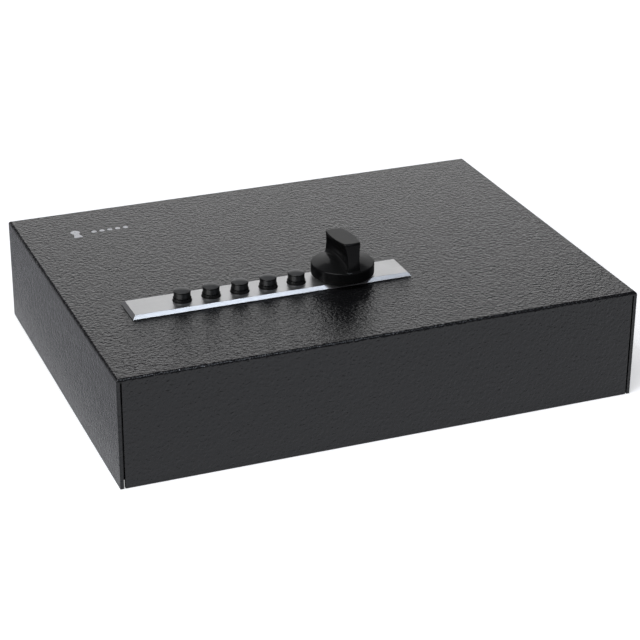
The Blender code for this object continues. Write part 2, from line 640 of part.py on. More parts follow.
def make_chamber(steel, lid_axis):
    """Cast lock chamber: a box with a web across it, a partition, end ears and screw posts."""
    bm = bmesh.new()
    add_box(bm, CHAMBER_X, CHAMBER_Y, CHAMBER_Z)
    chamber = make_object("lock_chamber", bm, steel, parent=lid_axis)
    wall = CHAMBER_WALL
    inner_x = (CHAMBER_X[0] + wall, CHAMBER_X[1] - wall)
    inner_y = (CHAMBER_Y[0] + wall, CHAMBER_Y[1] - wall)
    ears = bmesh.new()
    ear_y = (LOCK_Y - CHAMBER_EAR_HALF_W, LOCK_Y + CHAMBER_EAR_HALF_W)
    for edge, side in ((CHAMBER_X[0], -1), (CHAMBER_X[1], 1)):
        x = sorted((edge - side * wall / 2, edge + side * CHAMBER_EAR))
        add_box(ears, x, ear_y, (CHAMBER_Z[1] - wall, CHAMBER_Z[1]))
    boolean(chamber, "UNION", ears)
    hollow = bmesh.new()
    add_box(hollow, inner_x, inner_y, (WEB_Z[1], CHAMBER_Z[1] + EPS))
    add_box(hollow, (inner_x[0], PARTITION_X[0]), inner_y, (CHAMBER_Z[0] - EPS, WEB_Z[0]))
    add_box(hollow, (PARTITION_X[1], inner_x[1]), inner_y, (CHAMBER_Z[0] - EPS, WEB_Z[0]))
    boolean(chamber, "DIFFERENCE", hollow).name = "lock_chamber_hollow"
    posts = bmesh.new()
    for place in COVER_SCREWS:
        add_rod(posts, place, COVER_SCREW_HEAD_R, CHAMBER_Z[0], (WEB_Z[0] + WEB_Z[1]) / 2,
                sides=SMALL_ROUND)
    boolean(chamber, "UNION", posts).name = "lock_chamber_posts"
    cut = bmesh.new()
    middle = (WEB_Z[0] + WEB_Z[1]) / 2
    for index in range(BUTTON_COUNT):
        add_rod(cut, (button_x(index), LOCK_Y), STEM_R + RUN_GAP, middle - EPS, middle + EPS,
                sides=SMALL_ROUND)
    add_rod(cut, (KNOB_X, LOCK_Y), SPINDLE_R + RUN_GAP, middle - EPS, middle + EPS,
            sides=SMALL_ROUND)
    for x in STUD_X:
        add_rod(cut, (x, LOCK_Y), STUD_HOLE_R, CHAMBER_Z[1] - wall - EPS, CHAMBER_Z[1] + EPS,
                sides=SMALL_ROUND)
    for place in COVER_SCREWS:
        add_rod(cut, place, COVER_SCREW_HOLE_R, CHAMBER_Z[0] - EPS,
                CHAMBER_Z[0] + COVER_SCREW_LENGTH, sides=SMALL_ROUND)
    add_rod(cut, (ARBOR_Y, ARBOR_Z), ARBOR_R + GAP, CHAMBER_X[0] - EPS, CHAMBER_X[0] + EPS,
            axis="X", sides=SMALL_ROUND)
    add_rod(cut, (ARBOR_Y, ARBOR_Z), ARBOR_R + GAP, PARTITION_X[0] - EPS / 2,
            PARTITION_X[1] + EPS / 2, axis="X", sides=SMALL_ROUND)
    bolt_half = BOLT_HALF_W + RUN_GAP
    add_box(cut, (KNOB_X - bolt_half, KNOB_X + bolt_half),
            (CHAMBER_Y[0] - EPS, CHAMBER_Y[0] + wall + EPS),
            (BOLT_Z[0] - RUN_GAP, BOLT_Z[1] + RUN_GAP))
    fence_rear = CHAMBER_Y[1] - wall - RUN_GAP
    fence_y = (fence_rear - FENCE_BAR - FENCE_TRAVEL - FENCE_REAR_GAP, fence_rear)
    fence_z = (FENCE_Z[0] - FENCE_SLOT, FENCE_Z[1] + FENCE_SLOT)
    add_box(cut, (CHAMBER_X[0] - EPS, CHAMBER_X[0] + EPS), fence_y, fence_z)
    add_box(cut, (PARTITION_X[0] - EPS / 2, PARTITION_X[1] + EPS / 2), fence_y, fence_z)
    boolean(chamber, "DIFFERENCE", cut).name = "lock_chamber_holes"


def make_chamber_cover(steel, lid_axis):
    """Flat cover under the chamber and its two pan-head screws."""
    bm = bmesh.new()
    add_box(bm, CHAMBER_X, CHAMBER_Y, COVER_Z)
    cover = make_object("chamber_cover", bm, steel, parent=lid_axis)
    holes = bmesh.new()
    for place in COVER_SCREWS:
        add_rod(holes, place, COVER_SCREW_HOLE_R, COVER_Z[0] - EPS, COVER_Z[1] + EPS,
                sides=SMALL_ROUND)
    boolean(cover, "DIFFERENCE", holes)
    names = ("cover_screw_left", "cover_screw_right")
    for name, (x, y) in zip(names, COVER_SCREWS):
        head_top = COVER_Z[0] - GAP
        tip = head_top + COVER_SCREW_LENGTH
        profile = [(0, head_top - COVER_SCREW_HEAD),
                   (0.6 * COVER_SCREW_HEAD_R, head_top - 0.95 * COVER_SCREW_HEAD),
                   (COVER_SCREW_HEAD_R, head_top - COVER_SCREW_HEAD / 2),
                   (COVER_SCREW_HEAD_R, head_top), (COVER_SCREW_R, head_top),
                   (COVER_SCREW_R, tip - GAP), (0, tip)]
        screw = bmesh.new()
        add_turned(screw, (x, y), profile, SMALL_ROUND)
        make_object(name, screw, steel, origin=(x, y, head_top), parent=lid_axis, smooth=40)


def make_arbor(steel, lid_axis):
    """Fixed rod that the code wheels turn on."""
    bm = bmesh.new()
    add_rod(bm, (ARBOR_Y, ARBOR_Z), ARBOR_R, CHAMBER_X[0] - 2 * GAP, PARTITION_X[1] + 2 * GAP,
            axis="X", sides=SMALL_ROUND)
    make_object("code_wheel_arbor", bm, steel, parent=lid_axis, smooth=40)


def make_code_wheel(index, brass, lid_axis):
    """Wheel with a gate in its rim, a hub and a drive pin that sits in the button's fork."""
    x = button_x(index)
    number = index + 1
    axis = make_axis("wheel_axis_%d" % number, (x, ARBOR_Y, ARBOR_Z), lid_axis)
    face = x + WHEEL_OFFSET
    swing = math.asin(BUTTON_TRAVEL / 2 / WHEEL_PIN_CIRCLE)
    outline = []
    for k in range(ROUND + 1):
        angle = WHEEL_GATE + (2 * math.pi - 2 * WHEEL_GATE) * k / ROUND
        outline.append((ARBOR_Y + WHEEL_R * math.cos(angle), ARBOR_Z + WHEEL_R * math.sin(angle)))
    for angle in (-WHEEL_GATE, WHEEL_GATE):
        outline.append((ARBOR_Y + WHEEL_GATE_R * math.cos(angle),
                        ARBOR_Z + WHEEL_GATE_R * math.sin(angle)))
    bm = bmesh.new()
    add_prism(bm, outline, "X", face, face + WHEEL_THICK)
    wheel = make_object("code_wheel_%d" % number, bm, brass, origin=(x, ARBOR_Y, ARBOR_Z),
                        parent=axis, smooth=40)
    extra = bmesh.new()
    add_rod(extra, (ARBOR_Y, ARBOR_Z), WHEEL_HUB_R, face + WHEEL_THICK / 2, face + WHEEL_HUB,
            axis="X", sides=SMALL_ROUND)
    pin = (ARBOR_Y - WHEEL_PIN_CIRCLE * math.cos(swing),
           ARBOR_Z + WHEEL_PIN_CIRCLE * math.sin(swing))
    add_rod(extra, pin, WHEEL_PIN_R, x - WHEEL_PIN_END, face + WHEEL_THICK / 2, axis="X",
            sides=PIN_ROUND)
    boolean(wheel, "UNION", extra)
    bore = bmesh.new()
    add_rod(bore, (ARBOR_Y, ARBOR_Z), WHEEL_BORE_R, face - EPS, face + WHEEL_HUB + EPS,
            axis="X", sides=SMALL_ROUND)
    boolean(wheel, "DIFFERENCE", bore)


def make_lid_stop(name, side, rubber, lid_axis):
    """Rubber stop under the lid that lands on the tray's corner tab."""
    bm = bmesh.new()
    x = side * STOP_X
    low = TRAY_WALL_Z + GAP
    high = LID_UNDER - GAP
    profile = [(0, low), (0.8 * STOP_R, low), (STOP_R, low + STOP_R / 4),
               (STOP_R, high - 0.75 * STOP_R), (1.25 * STOP_R, high), (0, high)]
    add_turned(bm, (x, STOP_Y), profile, SMALL_ROUND)
    make_object(name, bm, rubber, origin=(x, STOP_Y, high), parent=lid_axis, smooth=40)


def make_bolt_guide(steel, lid_axis):
    """Hat bracket spot-welded under the lid, with the window that the bolt slides in."""
    bm = bmesh.new()
    top = LID_UNDER - GAP
    inner = BOLT_HALF_W + RUN_GAP
    leg = inner + GUIDE_SHEET
    low = BOLT_Z[0] - RUN_GAP - GUIDE_SHEET
    foot_z = top - GUIDE_SHEET
    outline = [(-GUIDE_FOOT, top), (-GUIDE_FOOT, foot_z), (-leg, foot_z), (-leg, low),
               (leg, low), (leg, foot_z), (GUIDE_FOOT, foot_z), (GUIDE_FOOT, top)]
    outline = [(KNOB_X + x, z) for x, z in outline]
    add_prism(bm, outline, "Y", GUIDE_Y[0], GUIDE_Y[1])
    guide = make_object("bolt_guide", bm, steel, parent=lid_axis)
    windows = bmesh.new()
    span = (GUIDE_Y[0] - EPS, GUIDE_Y[1] + EPS)
    ceiling = BOLT_Z[1] + RUN_GAP
    add_box(windows, (KNOB_X - inner, KNOB_X + inner), span, (low + GUIDE_SHEET, ceiling))
    add_box(windows, (KNOB_X - inner, KNOB_X + inner), span, (ceiling + GUIDE_SHEET, foot_z))
    boolean(guide, "DIFFERENCE", windows)


# ---------------------------------------------------------------- knob and bolt work

def grip_bulge(height):
    """How far the grip's sides stand out at mid length: full at the top, scooped below."""
    for (h0, b0), (h1, b1) in zip(GRIP_BULGE, GRIP_BULGE[1:]):
        if height <= h1:
            return b0 + (b1 - b0) * (height - h0) / (h1 - h0)
    return GRIP_BULGE[-1][1]


def grip_outline(height, points=9):
    """Plan outline of the grip at a height from 0, its root, to 1, its top."""
    reach = GRIP_ROOT_REACH + (GRIP_TOP_REACH - GRIP_ROOT_REACH) * height
    half = []
    for k in range(points):
        t = -1 + 2 * k / (points - 1)
        width = GRIP_END_W + grip_bulge(height) * (1 - t * t)
        length = math.sqrt(reach * reach - GRIP_END_W * GRIP_END_W)
        half.append((width, t * length))
    front = (0.0, -reach)
    back = (0.0, reach)
    left = [(-x, y) for x, y in reversed(half)]
    return [front] + half + [back] + left


def make_knob(plastic, knob_axis):
    """Round foot with a coned top and a scooped grip bar across it."""
    bm = bmesh.new()
    profile = [(0, KNOB_LOW), (KNOB_R - KNOB_EDGE, KNOB_LOW), (KNOB_R, KNOB_LOW + KNOB_EDGE),
               (KNOB_R, KNOB_RIM - KNOB_EDGE), (KNOB_R - KNOB_EDGE, KNOB_RIM)]
    profile += [(radius, KNOB_RIM + rise) for radius, rise in FOOT_CONE]
    add_turned(bm, (KNOB_X, LOCK_Y), profile, KNOB_ROUND)
    knob = make_object("knob", bm, plastic, origin=(KNOB_X, LOCK_Y, KNOB_LOW), parent=knob_axis,
                       smooth=35)
    grip = bmesh.new()
    root = KNOB_RIM - GRIP_ROOT_DEPTH
    rings = []
    for height, _ in GRIP_BULGE:
        ring = []
        for x, y in grip_outline(height):
            top = KNOB_CREST + KNOB_TOP_SLOPE * y
            ring.append(grip.verts.new((KNOB_X + x, LOCK_Y + y, root + (top - root) * height)))
        rings.append(ring)
    count = len(rings[0])
    for lower, upper in zip(rings, rings[1:]):
        for i in range(count):
            j = (i + 1) % count
            grip.faces.new((lower[i], lower[j], upper[j], upper[i]))
    grip.faces.new(rings[0][::-1])
    grip.faces.new(rings[-1])
    boolean(knob, "UNION", grip)
    bore = bmesh.new()
    add_rod(bore, (KNOB_X, LOCK_Y), SPINDLE_BORE_R, KNOB_LOW - EPS, KNOB_LOW + SPINDLE_SOCKET)
    boolean(knob, "DIFFERENCE", bore)
    set_hole = bmesh.new()
    add_rod(set_hole, (KNOB_X, KNOB_LOW + SET_SCREW_RISE), SET_SCREW_R + GAP, LOCK_Y,
            LOCK_Y + KNOB_R + EPS, axis="Y", sides=SMALL_ROUND)
    boolean(knob, "DIFFERENCE", set_hole).name = "knob_set_screw_hole"


def make_spindle(steel, knob_axis):
    """Steel shaft from the knob down to the fence's eccentric, grooved for its clip."""
    low = SPINDLE_LOW
    groove = [low + rise for rise in CLIP_GROOVE]
    high = PLATE_TOP + SPINDLE_SOCKET
    profile = [(0, low), (SPINDLE_R - SPINDLE_EDGE, low), (SPINDLE_R, low + SPINDLE_EDGE),
               (SPINDLE_R, groove[0]), (SPINDLE_NECK_R, groove[0]), (SPINDLE_NECK_R, groove[1]),
               (SPINDLE_R, groove[1]), (SPINDLE_R, high - SPINDLE_EDGE),
               (SPINDLE_R - SPINDLE_EDGE, high), (0, high)]
    bm = bmesh.new()
    add_turned(bm, (KNOB_X, LOCK_Y), profile)
    make_object("knob_spindle", bm, steel, origin=(KNOB_X, LOCK_Y, low), parent=knob_axis,
                smooth=40)
    clip = bmesh.new()
    start, end = CLIP_OPENING, 360 - CLIP_OPENING
    angles = range(start, end + 1, CLIP_OPENING)
    outline = []
    for radius, turns in ((CLIP_R, angles), (CLIP_BORE_R, reversed(angles))):
        for a in map(math.radians, turns):
            outline.append((KNOB_X + radius * math.cos(a), LOCK_Y + radius * math.sin(a)))
    add_prism(clip, outline, "Z", groove[0] + GAP, groove[1] - GAP)
    make_object("spindle_clip", clip, steel, parent=knob_axis)


def make_set_screw(steel, knob_axis):
    """Headless screw that locks the knob to its spindle, from the rear."""
    bm = bmesh.new()
    add_rod(bm, (KNOB_X, KNOB_LOW + SET_SCREW_RISE), SET_SCREW_R, LOCK_Y + SPINDLE_R + GAP,
            LOCK_Y + KNOB_R - SET_SCREW_INSET, axis="Y", sides=SMALL_ROUND)
    make_object("knob_set_screw", bm, steel, parent=knob_axis, smooth=40)


def make_spindle_bush(steel, lid_axis):
    """Flanged sleeve that carries the spindle through the lid."""
    flange_top = BUSH_FLANGE_Z + FLANGE_THICK
    high = PLATE_TOP + GAP
    profile = [(SPINDLE_BORE_R, BUSH_FLANGE_Z), (SPINDLE_FLANGE_R, BUSH_FLANGE_Z),
               (SPINDLE_FLANGE_R, flange_top), (SPINDLE_BUSH_R, flange_top),
               (SPINDLE_BUSH_R, high), (SPINDLE_BORE_R, high)]
    bm = bmesh.new()
    add_turned(bm, (KNOB_X, LOCK_Y), profile)
    make_object("spindle_bush", bm, steel, parent=lid_axis, smooth=40)


def crank_offset(radius):
    """Where a crank of the given radius stands at rest: 45 degrees behind the left side."""
    angle = math.radians(135)
    return (radius * math.cos(angle), radius * math.sin(angle))


def make_drive_cam(steel, knob_axis):
    """Disc on the spindle with the crank pin that works the bolt."""
    dx, dy = crank_offset(CRANK_R)
    bm = bmesh.new()
    add_rod(bm, (KNOB_X, LOCK_Y), CAM_R, CAM_Z[0], CAM_Z[1])
    cam = make_object("drive_cam", bm, steel, origin=(KNOB_X, LOCK_Y, CAM_Z[0]),
                      parent=knob_axis, smooth=40)
    pin = bmesh.new()
    add_rod(pin, (KNOB_X + dx, LOCK_Y + dy), CRANK_PIN_R, BOLT_Z[0] + GAP,
            (CAM_Z[0] + CAM_Z[1]) / 2, sides=SMALL_ROUND)
    boolean(cam, "UNION", pin)
    bore = bmesh.new()
    add_rod(bore, (KNOB_X, LOCK_Y), SPINDLE_BORE_R, CAM_Z[0] - EPS, CAM_Z[1] + EPS)
    boolean(cam, "DIFFERENCE", bore)


def eccentric_radius():
    """Throw of the eccentric that gives the fence its travel over a quarter turn."""
    return FENCE_TRAVEL / 2 / math.sin(math.radians(45))


def make_eccentric(brass, knob_axis):
    """Round eccentric that slides the fence."""
    dx, dy = crank_offset(eccentric_radius())
    bm = bmesh.new()
    z = (FENCE_Z[0] - FENCE_SLOT, FENCE_Z[1] + FENCE_SLOT)
    add_rod(bm, (KNOB_X + dx, LOCK_Y + dy), ECCENTRIC_R, z[0], z[1])
    disc = make_object("fence_eccentric", bm, brass, origin=(KNOB_X, LOCK_Y, z[0]),
                       parent=knob_axis, smooth=40)
    bore = bmesh.new()
    add_rod(bore, (KNOB_X, LOCK_Y), SPINDLE_BORE_R, z[0] - EPS, z[1] + EPS)
    boolean(disc, "DIFFERENCE", bore)


def make_fence(steel, lid_axis):
    """Flat slide: a frame round the eccentric and a long bar beside the code wheels."""
    dy = crank_offset(eccentric_radius())[1]
    window_x = (KNOB_X - FENCE_WINDOW[0], KNOB_X + FENCE_WINDOW[0])
    window_y = (LOCK_Y + dy - FENCE_WINDOW[1], LOCK_Y + dy + FENCE_WINDOW[1])
    rear = CHAMBER_Y[1] - CHAMBER_WALL - FENCE_REAR_GAP
    bar_front = rear - FENCE_BAR
    frame_x = (PARTITION_X[1] + 2 * GAP, window_x[1] + FENCE_FRAME)
    frame_front = window_y[0] - FENCE_FRAME
    outline = [(CHAMBER_X[0] + RUN_GAP, bar_front), (frame_x[0], bar_front),
               (frame_x[0], frame_front), (frame_x[1], frame_front), (frame_x[1], rear),
               (CHAMBER_X[0] + RUN_GAP, rear)]
    bm = bmesh.new()
    add_prism(bm, outline, "Z", FENCE_Z[0], FENCE_Z[1])
    fence = make_object("fence_slide", bm, steel, origin=(KNOB_X, LOCK_Y, FENCE_Z[0]),
                        parent=lid_axis)
    window = bmesh.new()
    add_box(window, window_x, window_y, (FENCE_Z[0] - EPS, FENCE_Z[1] + EPS))
    boolean(fence, "DIFFERENCE", window)


def make_latch_bolt(steel, lid_axis):
    """Sliding bolt: a carriage with a spindle slot and a cross slot, and a long tongue."""
    front, rear = CARRIAGE_Y
    tip_half = BOLT_HALF_W - BOLT_TIP_CHAMFER
    tip_side = BOLT_TIP_Y + BOLT_TIP_CHAMFER
    outline = [(-CARRIAGE_HALF_W, rear), (-CARRIAGE_HALF_W, front), (-BOLT_HALF_W, front),
               (-BOLT_HALF_W, tip_side), (-tip_half, BOLT_TIP_Y), (tip_half, BOLT_TIP_Y),
               (BOLT_HALF_W, tip_side), (BOLT_HALF_W, front), (CARRIAGE_HALF_W, front),
               (CARRIAGE_HALF_W, rear)]
    outline = [(KNOB_X + x, y) for x, y in outline]
    bm = bmesh.new()
    add_prism(bm, outline, "Z", BOLT_Z[0], BOLT_Z[1])
    bolt = make_object("latch_bolt", bm, steel, origin=(KNOB_X, LOCK_Y, BOLT_Z[0]),
                       parent=lid_axis)
    slots = bmesh.new()
    z = (BOLT_Z[0] - EPS, BOLT_Z[1] + EPS)
    half = SPINDLE_R + RUN_GAP
    dy = crank_offset(CRANK_R)[1]
    pin_reach = CRANK_PIN_R + RUN_GAP
    pin_y = LOCK_Y + dy
    back = LOCK_Y + BOLT_TRAVEL + half
    outline = [(KNOB_X + half, LOCK_Y - half), (KNOB_X + half, back), (KNOB_X - half, back),
               (KNOB_X - half, pin_y + pin_reach),
               (KNOB_X - CRANK_R - pin_reach, pin_y + pin_reach),
               (KNOB_X - CRANK_R - pin_reach, pin_y - pin_reach),
               (KNOB_X - half, pin_y - pin_reach), (KNOB_X - half, LOCK_Y - half)]
    add_prism(slots, outline, "Z", z[0], z[1])
    boolean(bolt, "DIFFERENCE", slots)


def main():
    clear_scene()
    coat = material("black_powder_coat", (0.035, 0.035, 0.037), 0.38)
    aluminium = material("satin_aluminium", (0.74, 0.74, 0.75), 0.32, 1.0)
    zinc = material("zinc_plated_steel", (0.55, 0.55, 0.56), 0.35, 1.0)
    brass = material("brass", (0.66, 0.48, 0.2), 0.3, 1.0)
    plastic = material("black_plastic", (0.03, 0.03, 0.032), 0.42)
    rubber = material("black_rubber", (0.02, 0.02, 0.02), 0.8)
    foam = material("charcoal_foam", (0.06, 0.06, 0.065), 0.95)

    lid_axis = make_axis("lid_axis", (0, HINGE_Y, HINGE_Z))
    knob_axis = make_axis("knob_axis", (KNOB_X, LOCK_Y, PLATE_TOP), lid_axis)

    make_base_tray(coat)
    make_leaf("hinge_leaf_base", -1, 1, zinc)
    make_hinge_pin(zinc)
    make_strike(zinc)
    make_foam_pads(foam, lid_axis)

    make_lid_shell(coat, lid_axis)
    make_leaf("hinge_leaf_lid", 1, 0, zinc, lid_axis)
    make_faceplate(aluminium, lid_axis)
    make_mount_plate(zinc, lid_axis)
    make_nut("stud_nut_left", STUD_X[0], zinc, lid_axis)
    make_nut("stud_nut_right", STUD_X[1], zinc, lid_axis)
    make_chamber(zinc, lid_axis)
    make_chamber_cover(zinc, lid_axis)
    make_arbor(zinc, lid_axis)
    make_spindle_bush(zinc, lid_axis)
    make_bolt_guide(zinc, lid_axis)
    make_lid_stop("lid_stop_left", -1, rubber, lid_axis)
    make_lid_stop("lid_stop_right", 1, rubber, lid_axis)

    for index in range(BUTTON_COUNT):
        make_button_bush(index, plastic, lid_axis)
        make_button(index, plastic, lid_axis)
        make_button_spring(index, zinc, lid_axis)
        make_code_wheel(index, brass, lid_axis)

    make_knob(plastic, knob_axis)
    make_spindle(zinc, knob_axis)
    make_set_screw(zinc, knob_axis)
    make_drive_cam(zinc, knob_axis)
    make_eccentric(brass, knob_axis)
    make_fence(zinc, lid_axis)
    make_latch_bolt(zinc, lid_axis)


main()
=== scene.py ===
"""Looks of a low steel lock box: textured black lid, bright faceplate, five buttons, a knob."""
import math

import bmesh
import bpy
from mathutils import Matrix, Vector


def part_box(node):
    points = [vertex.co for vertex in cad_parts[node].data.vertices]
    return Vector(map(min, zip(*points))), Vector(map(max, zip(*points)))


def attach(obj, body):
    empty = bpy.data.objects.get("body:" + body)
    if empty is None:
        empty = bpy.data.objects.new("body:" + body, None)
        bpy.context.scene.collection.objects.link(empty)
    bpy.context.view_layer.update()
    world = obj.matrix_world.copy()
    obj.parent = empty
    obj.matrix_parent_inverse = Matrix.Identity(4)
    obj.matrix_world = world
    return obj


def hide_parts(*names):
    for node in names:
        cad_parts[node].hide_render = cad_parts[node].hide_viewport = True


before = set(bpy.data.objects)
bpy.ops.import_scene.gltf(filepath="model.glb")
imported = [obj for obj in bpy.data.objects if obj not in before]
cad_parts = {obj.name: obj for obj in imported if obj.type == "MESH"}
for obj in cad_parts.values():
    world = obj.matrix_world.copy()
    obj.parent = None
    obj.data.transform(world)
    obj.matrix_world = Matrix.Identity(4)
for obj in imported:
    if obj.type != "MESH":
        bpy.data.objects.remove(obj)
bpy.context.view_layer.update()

MM = 0.001
BUTTONS = range(1, 6)

# Sheet metal of the lid
SHEET = 1.9 * MM
BEND = 1.8 * MM
CORNER_R = 0.3 * MM
SEAM_EDGE = 2.0 * MM
SEAM_WIDTH = 0.9 * MM
SEAM_TOP = 2.2 * MM
SKIRT_RISE = 2.0 * MM
SKIRT_RISE_START = 6.0 * MM
SKIRT_DIP = SKIRT_RISE / 50
REAR_SKIRT_Z = 3.6 * MM
HINGE_Y = 110.1 * MM
HINGE_Z = 4.4 * MM
HINGE_CLEAR = 0.8 * MM
HEEL_R = 4.2 * MM
PAST = 2.0 * MM
GAP = 0.3 * MM

# Levels and the lock's line, from the model
LID_LOW, LID_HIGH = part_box("lid_shell")
PLATE_LOW, PLATE_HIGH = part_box("faceplate")
KNOB_LOW, KNOB_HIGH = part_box("knob")
PLATE_BOTTOM = LID_HIGH.z + GAP
LOCK_Y = (PLATE_LOW.y + PLATE_HIGH.y) / 2
KNOB_X = (KNOB_LOW.x + KNOB_HIGH.x) / 2

# Faceplate, buttons and their collars
PLATE_BEVEL = 1.85 * MM
PLATE_EDGE = 0.15 * MM
STUD_R = 2.0 * MM
STUD_HOLE_R = 2.4 * MM
STUD_LAP = 0.8 * MM
BUSH_R = 5.35 * MM
BUSH_BORE_R = 5.1 * MM
BUSH_HOLE_R = 5.6 * MM
COLLAR_RISE = 1.8 * MM
COLLAR_FLARE = 0.34 * MM
COLLAR_STEP = 0.2 * MM
COLLAR_SEAT = 0.04 * MM
BUSH_FLANGE_R = 7.2 * MM
FLANGE_THICK = 1.5 * MM
BUTTON_R = 4.85 * MM
DOME_R = 4.45 * MM
DOME_RISE = 0.95 * MM
DOME_POWER = 2.4
CAP_EDGE_R = 0.55 * MM
CAP_EDGE_DROP = 1.55 * MM
CAP_LAND = 1.9 * MM
CAP_RELIEF = 0.1 * MM
SHOULDER_R = 6.4 * MM
STEM_R = 1.9 * MM
STEM_DROP = 12.5 * MM
FORK_SLOT = 0.9 * MM
FORK_BACK = 1.3 * MM
FORK_REACH = 2.1 * MM
FORK_HALF = 0.8 * MM
PRONG = 1.5 * MM

# Knob: heights above the faceplate, then its grip
SPINDLE_HOLE_R = 5.8 * MM
SPINDLE_BORE_R = 3.3 * MM
SPINDLE_SOCKET = 8.4 * MM
SET_SCREW_HOLE_R = 1.8 * MM
SET_SCREW_RISE = 4.0 * MM
KNOB_RIM = PLATE_HIGH.z + 8.2 * MM
KNOB_CREST = PLATE_HIGH.z + 23.8 * MM
FOOT_EDGE_R = 0.5 * MM
RIM_EDGE_R = 0.35 * MM
FOOT_CONE = ((14.8, 0.6), (11.0, 1.4), (6.0, 2.2), (0.0, 2.6))
GRIP_TILT = -0.075
GRIP_ROOT = KNOB_RIM - 5.5 * MM
GRIP_REACH = 17.75 * MM
GRIP_TAPER = 2.5 * MM
GRIP_TAPER_POWER = 1.6
GRIP_POINTS = 30
GRIP_EDGE = 1.0 * MM
GRIP_STATIONS = ((0.0, 4.3, 3.9), (0.22, 4.2, 3.6), (0.29, 3.9, 1.6), (0.42, 3.7, -1.4),
                 (0.58, 3.7, -2.3), (0.72, 3.9, -1.7), (0.86, 4.3, 0.2), (0.95, 4.6, 1.5),
                 (1.0, 4.7, 1.9))
GRIP_FULLNESS = 0.85
SKIN_VOXEL = 0.3 * MM

# Foam pads
PAD_STEP = 2.5 * MM
PAD_EDGE_R = 2.5 * MM
PAD_WAVE = 0.25 * MM
PAD_WAVE_X, PAD_WAVE_Y = 61, 47
CRATE_STEP = 2.0 * MM
CRATE_COLUMNS, CRATE_ROWS = 14, 6
CRATE_MIDDLE = 3.4 * MM
CRATE_SWING = 3.0 * MM

# Printed mark at the rear left of the lid
PRINT_UNDER, PRINT_OVER = 0.01 * MM, 0.05 * MM
MARK_Y = 79.5 * MM
KEYHOLE_X = -119.5 * MM
KEYHOLE_SIZE = 11.0 * MM
DOT_X = -108.5 * MM
DOT_PITCH = 4.9 * MM
DOT_R = 1.55 * MM

# Sides of the round shapes
SMALL_SIDES = 24
DOT_SIDES = 28
SCREW_SIDES = 32
HOLE_SIDES = 48
BUTTON_SIDES = 56
KNOB_SIDES = 96

# Camera: where it looks from, its distance, and how far its view is panned
CAMERA_AZIMUTH = math.radians(-21.949)
CAMERA_ELEVATION = math.radians(25.272)
CAMERA_ROLL = math.radians(0.360)
CAMERA_DISTANCE = 1197.49 * MM
CAMERA_PAN = (5.622 * MM, 20.310 * MM)
CAMERA_LENS = 112.53
SENSOR = 36.0

# Stage: the grey card beside the box, in metres, and the key light
FLAG_REACH = 0.45
FLAG_GAP = 0.012
FLAG_INSET = 0.02
FLAG_END = 0.9
FLAG_LOW, FLAG_HIGH = 0.0005, 0.001
COOL = (0.80, 0.88, 1.0)
KEY_POWER = 2.15
KEY_SPREAD = math.radians(50)
KEY_AIM = (0.6, 0.25, -0.77)


# ---------------------------------------------------------------- node helpers

def new_material(name):
    """Material with a Principled shader. Returns the material, its tree and the shader."""
    mat = bpy.data.materials.new(name)
    mat.use_nodes = True
    tree = mat.node_tree
    return mat, tree, tree.nodes["Principled BSDF"]


def node(tree, kind, **values):
    """New node, with its properties and its input defaults set by name."""
    made = tree.nodes.new(kind)
    for key, value in values.items():
        if hasattr(made, key):
            setattr(made, key, value)
        else:
            made.inputs[key.replace("_", " ")].default_value = value
    return made


def place(tree, stretch=(1.0, 1.0, 1.0)):
    """Object coordinates, in metres, stretched along the axes."""
    coords = tree.nodes.new("ShaderNodeTexCoord")
    mapping = node(tree, "ShaderNodeMapping", Scale=stretch)
    tree.links.new(coords.outputs["Object"], mapping.inputs["Vector"])
    return mapping.outputs["Vector"]


def noise(tree, vector, size, detail=2.0, roughness=0.5, distortion=0.0):
    """Noise whose features are about the given size across, in metres."""
    made = node(tree, "ShaderNodeTexNoise", Scale=1.0 / size, Detail=detail,
                Roughness=roughness, Distortion=distortion)
    tree.links.new(vector, made.inputs["Vector"])
    return made.outputs["Fac"]


def remap(tree, value, low, high, from_low=0.0, from_high=1.0):
    """Value mapped to the range from low to high."""
    made = node(tree, "ShaderNodeMapRange")
    made.inputs["From Min"].default_value = from_low
    made.inputs["From Max"].default_value = from_high
    made.inputs["To Min"].default_value = low
    made.inputs["To Max"].default_value = high
    tree.links.new(value, made.inputs["Value"])
    return made.outputs["Result"]


def ramp(tree, value, stops):
    """Colour ramp through (position, colour) stops."""
    made = tree.nodes.new("ShaderNodeValToRGB")
    elements = made.color_ramp.elements
    elements[0].position, elements[0].color = stops[0][0], (*stops[0][1], 1.0)
    elements[1].position, elements[1].color = stops[-1][0], (*stops[-1][1], 1.0)
    for position, colour in stops[1:-1]:
        elements.new(position).color = (*colour, 1.0)
    tree.links.new(value, made.inputs["Fac"])
    return made.outputs["Color"]


def math_node(tree, operation, a, b):
    """Math on two values, each a socket or a number."""
    made = node(tree, "ShaderNodeMath", operation=operation)
    for index, value in enumerate((a, b)):
        if isinstance(value, (int, float)):
            made.inputs[index].default_value = value
        else:
            tree.links.new(value, made.inputs[index])
    return made.outputs["Value"]


def bump(tree, shader, height, distance, under=None):
    """Bump of the given depth in metres, over another bump if there is one."""
    made = node(tree, "ShaderNodeBump", Strength=1.0, Distance=distance)
    tree.links.new(height, made.inputs["Height"])
    if under:
        tree.links.new(under, made.inputs["Normal"])
    tree.links.new(made.outputs["Normal"], shader.inputs["Normal"])
    return made.outputs["Normal"]


# ---------------------------------------------------------------- materials

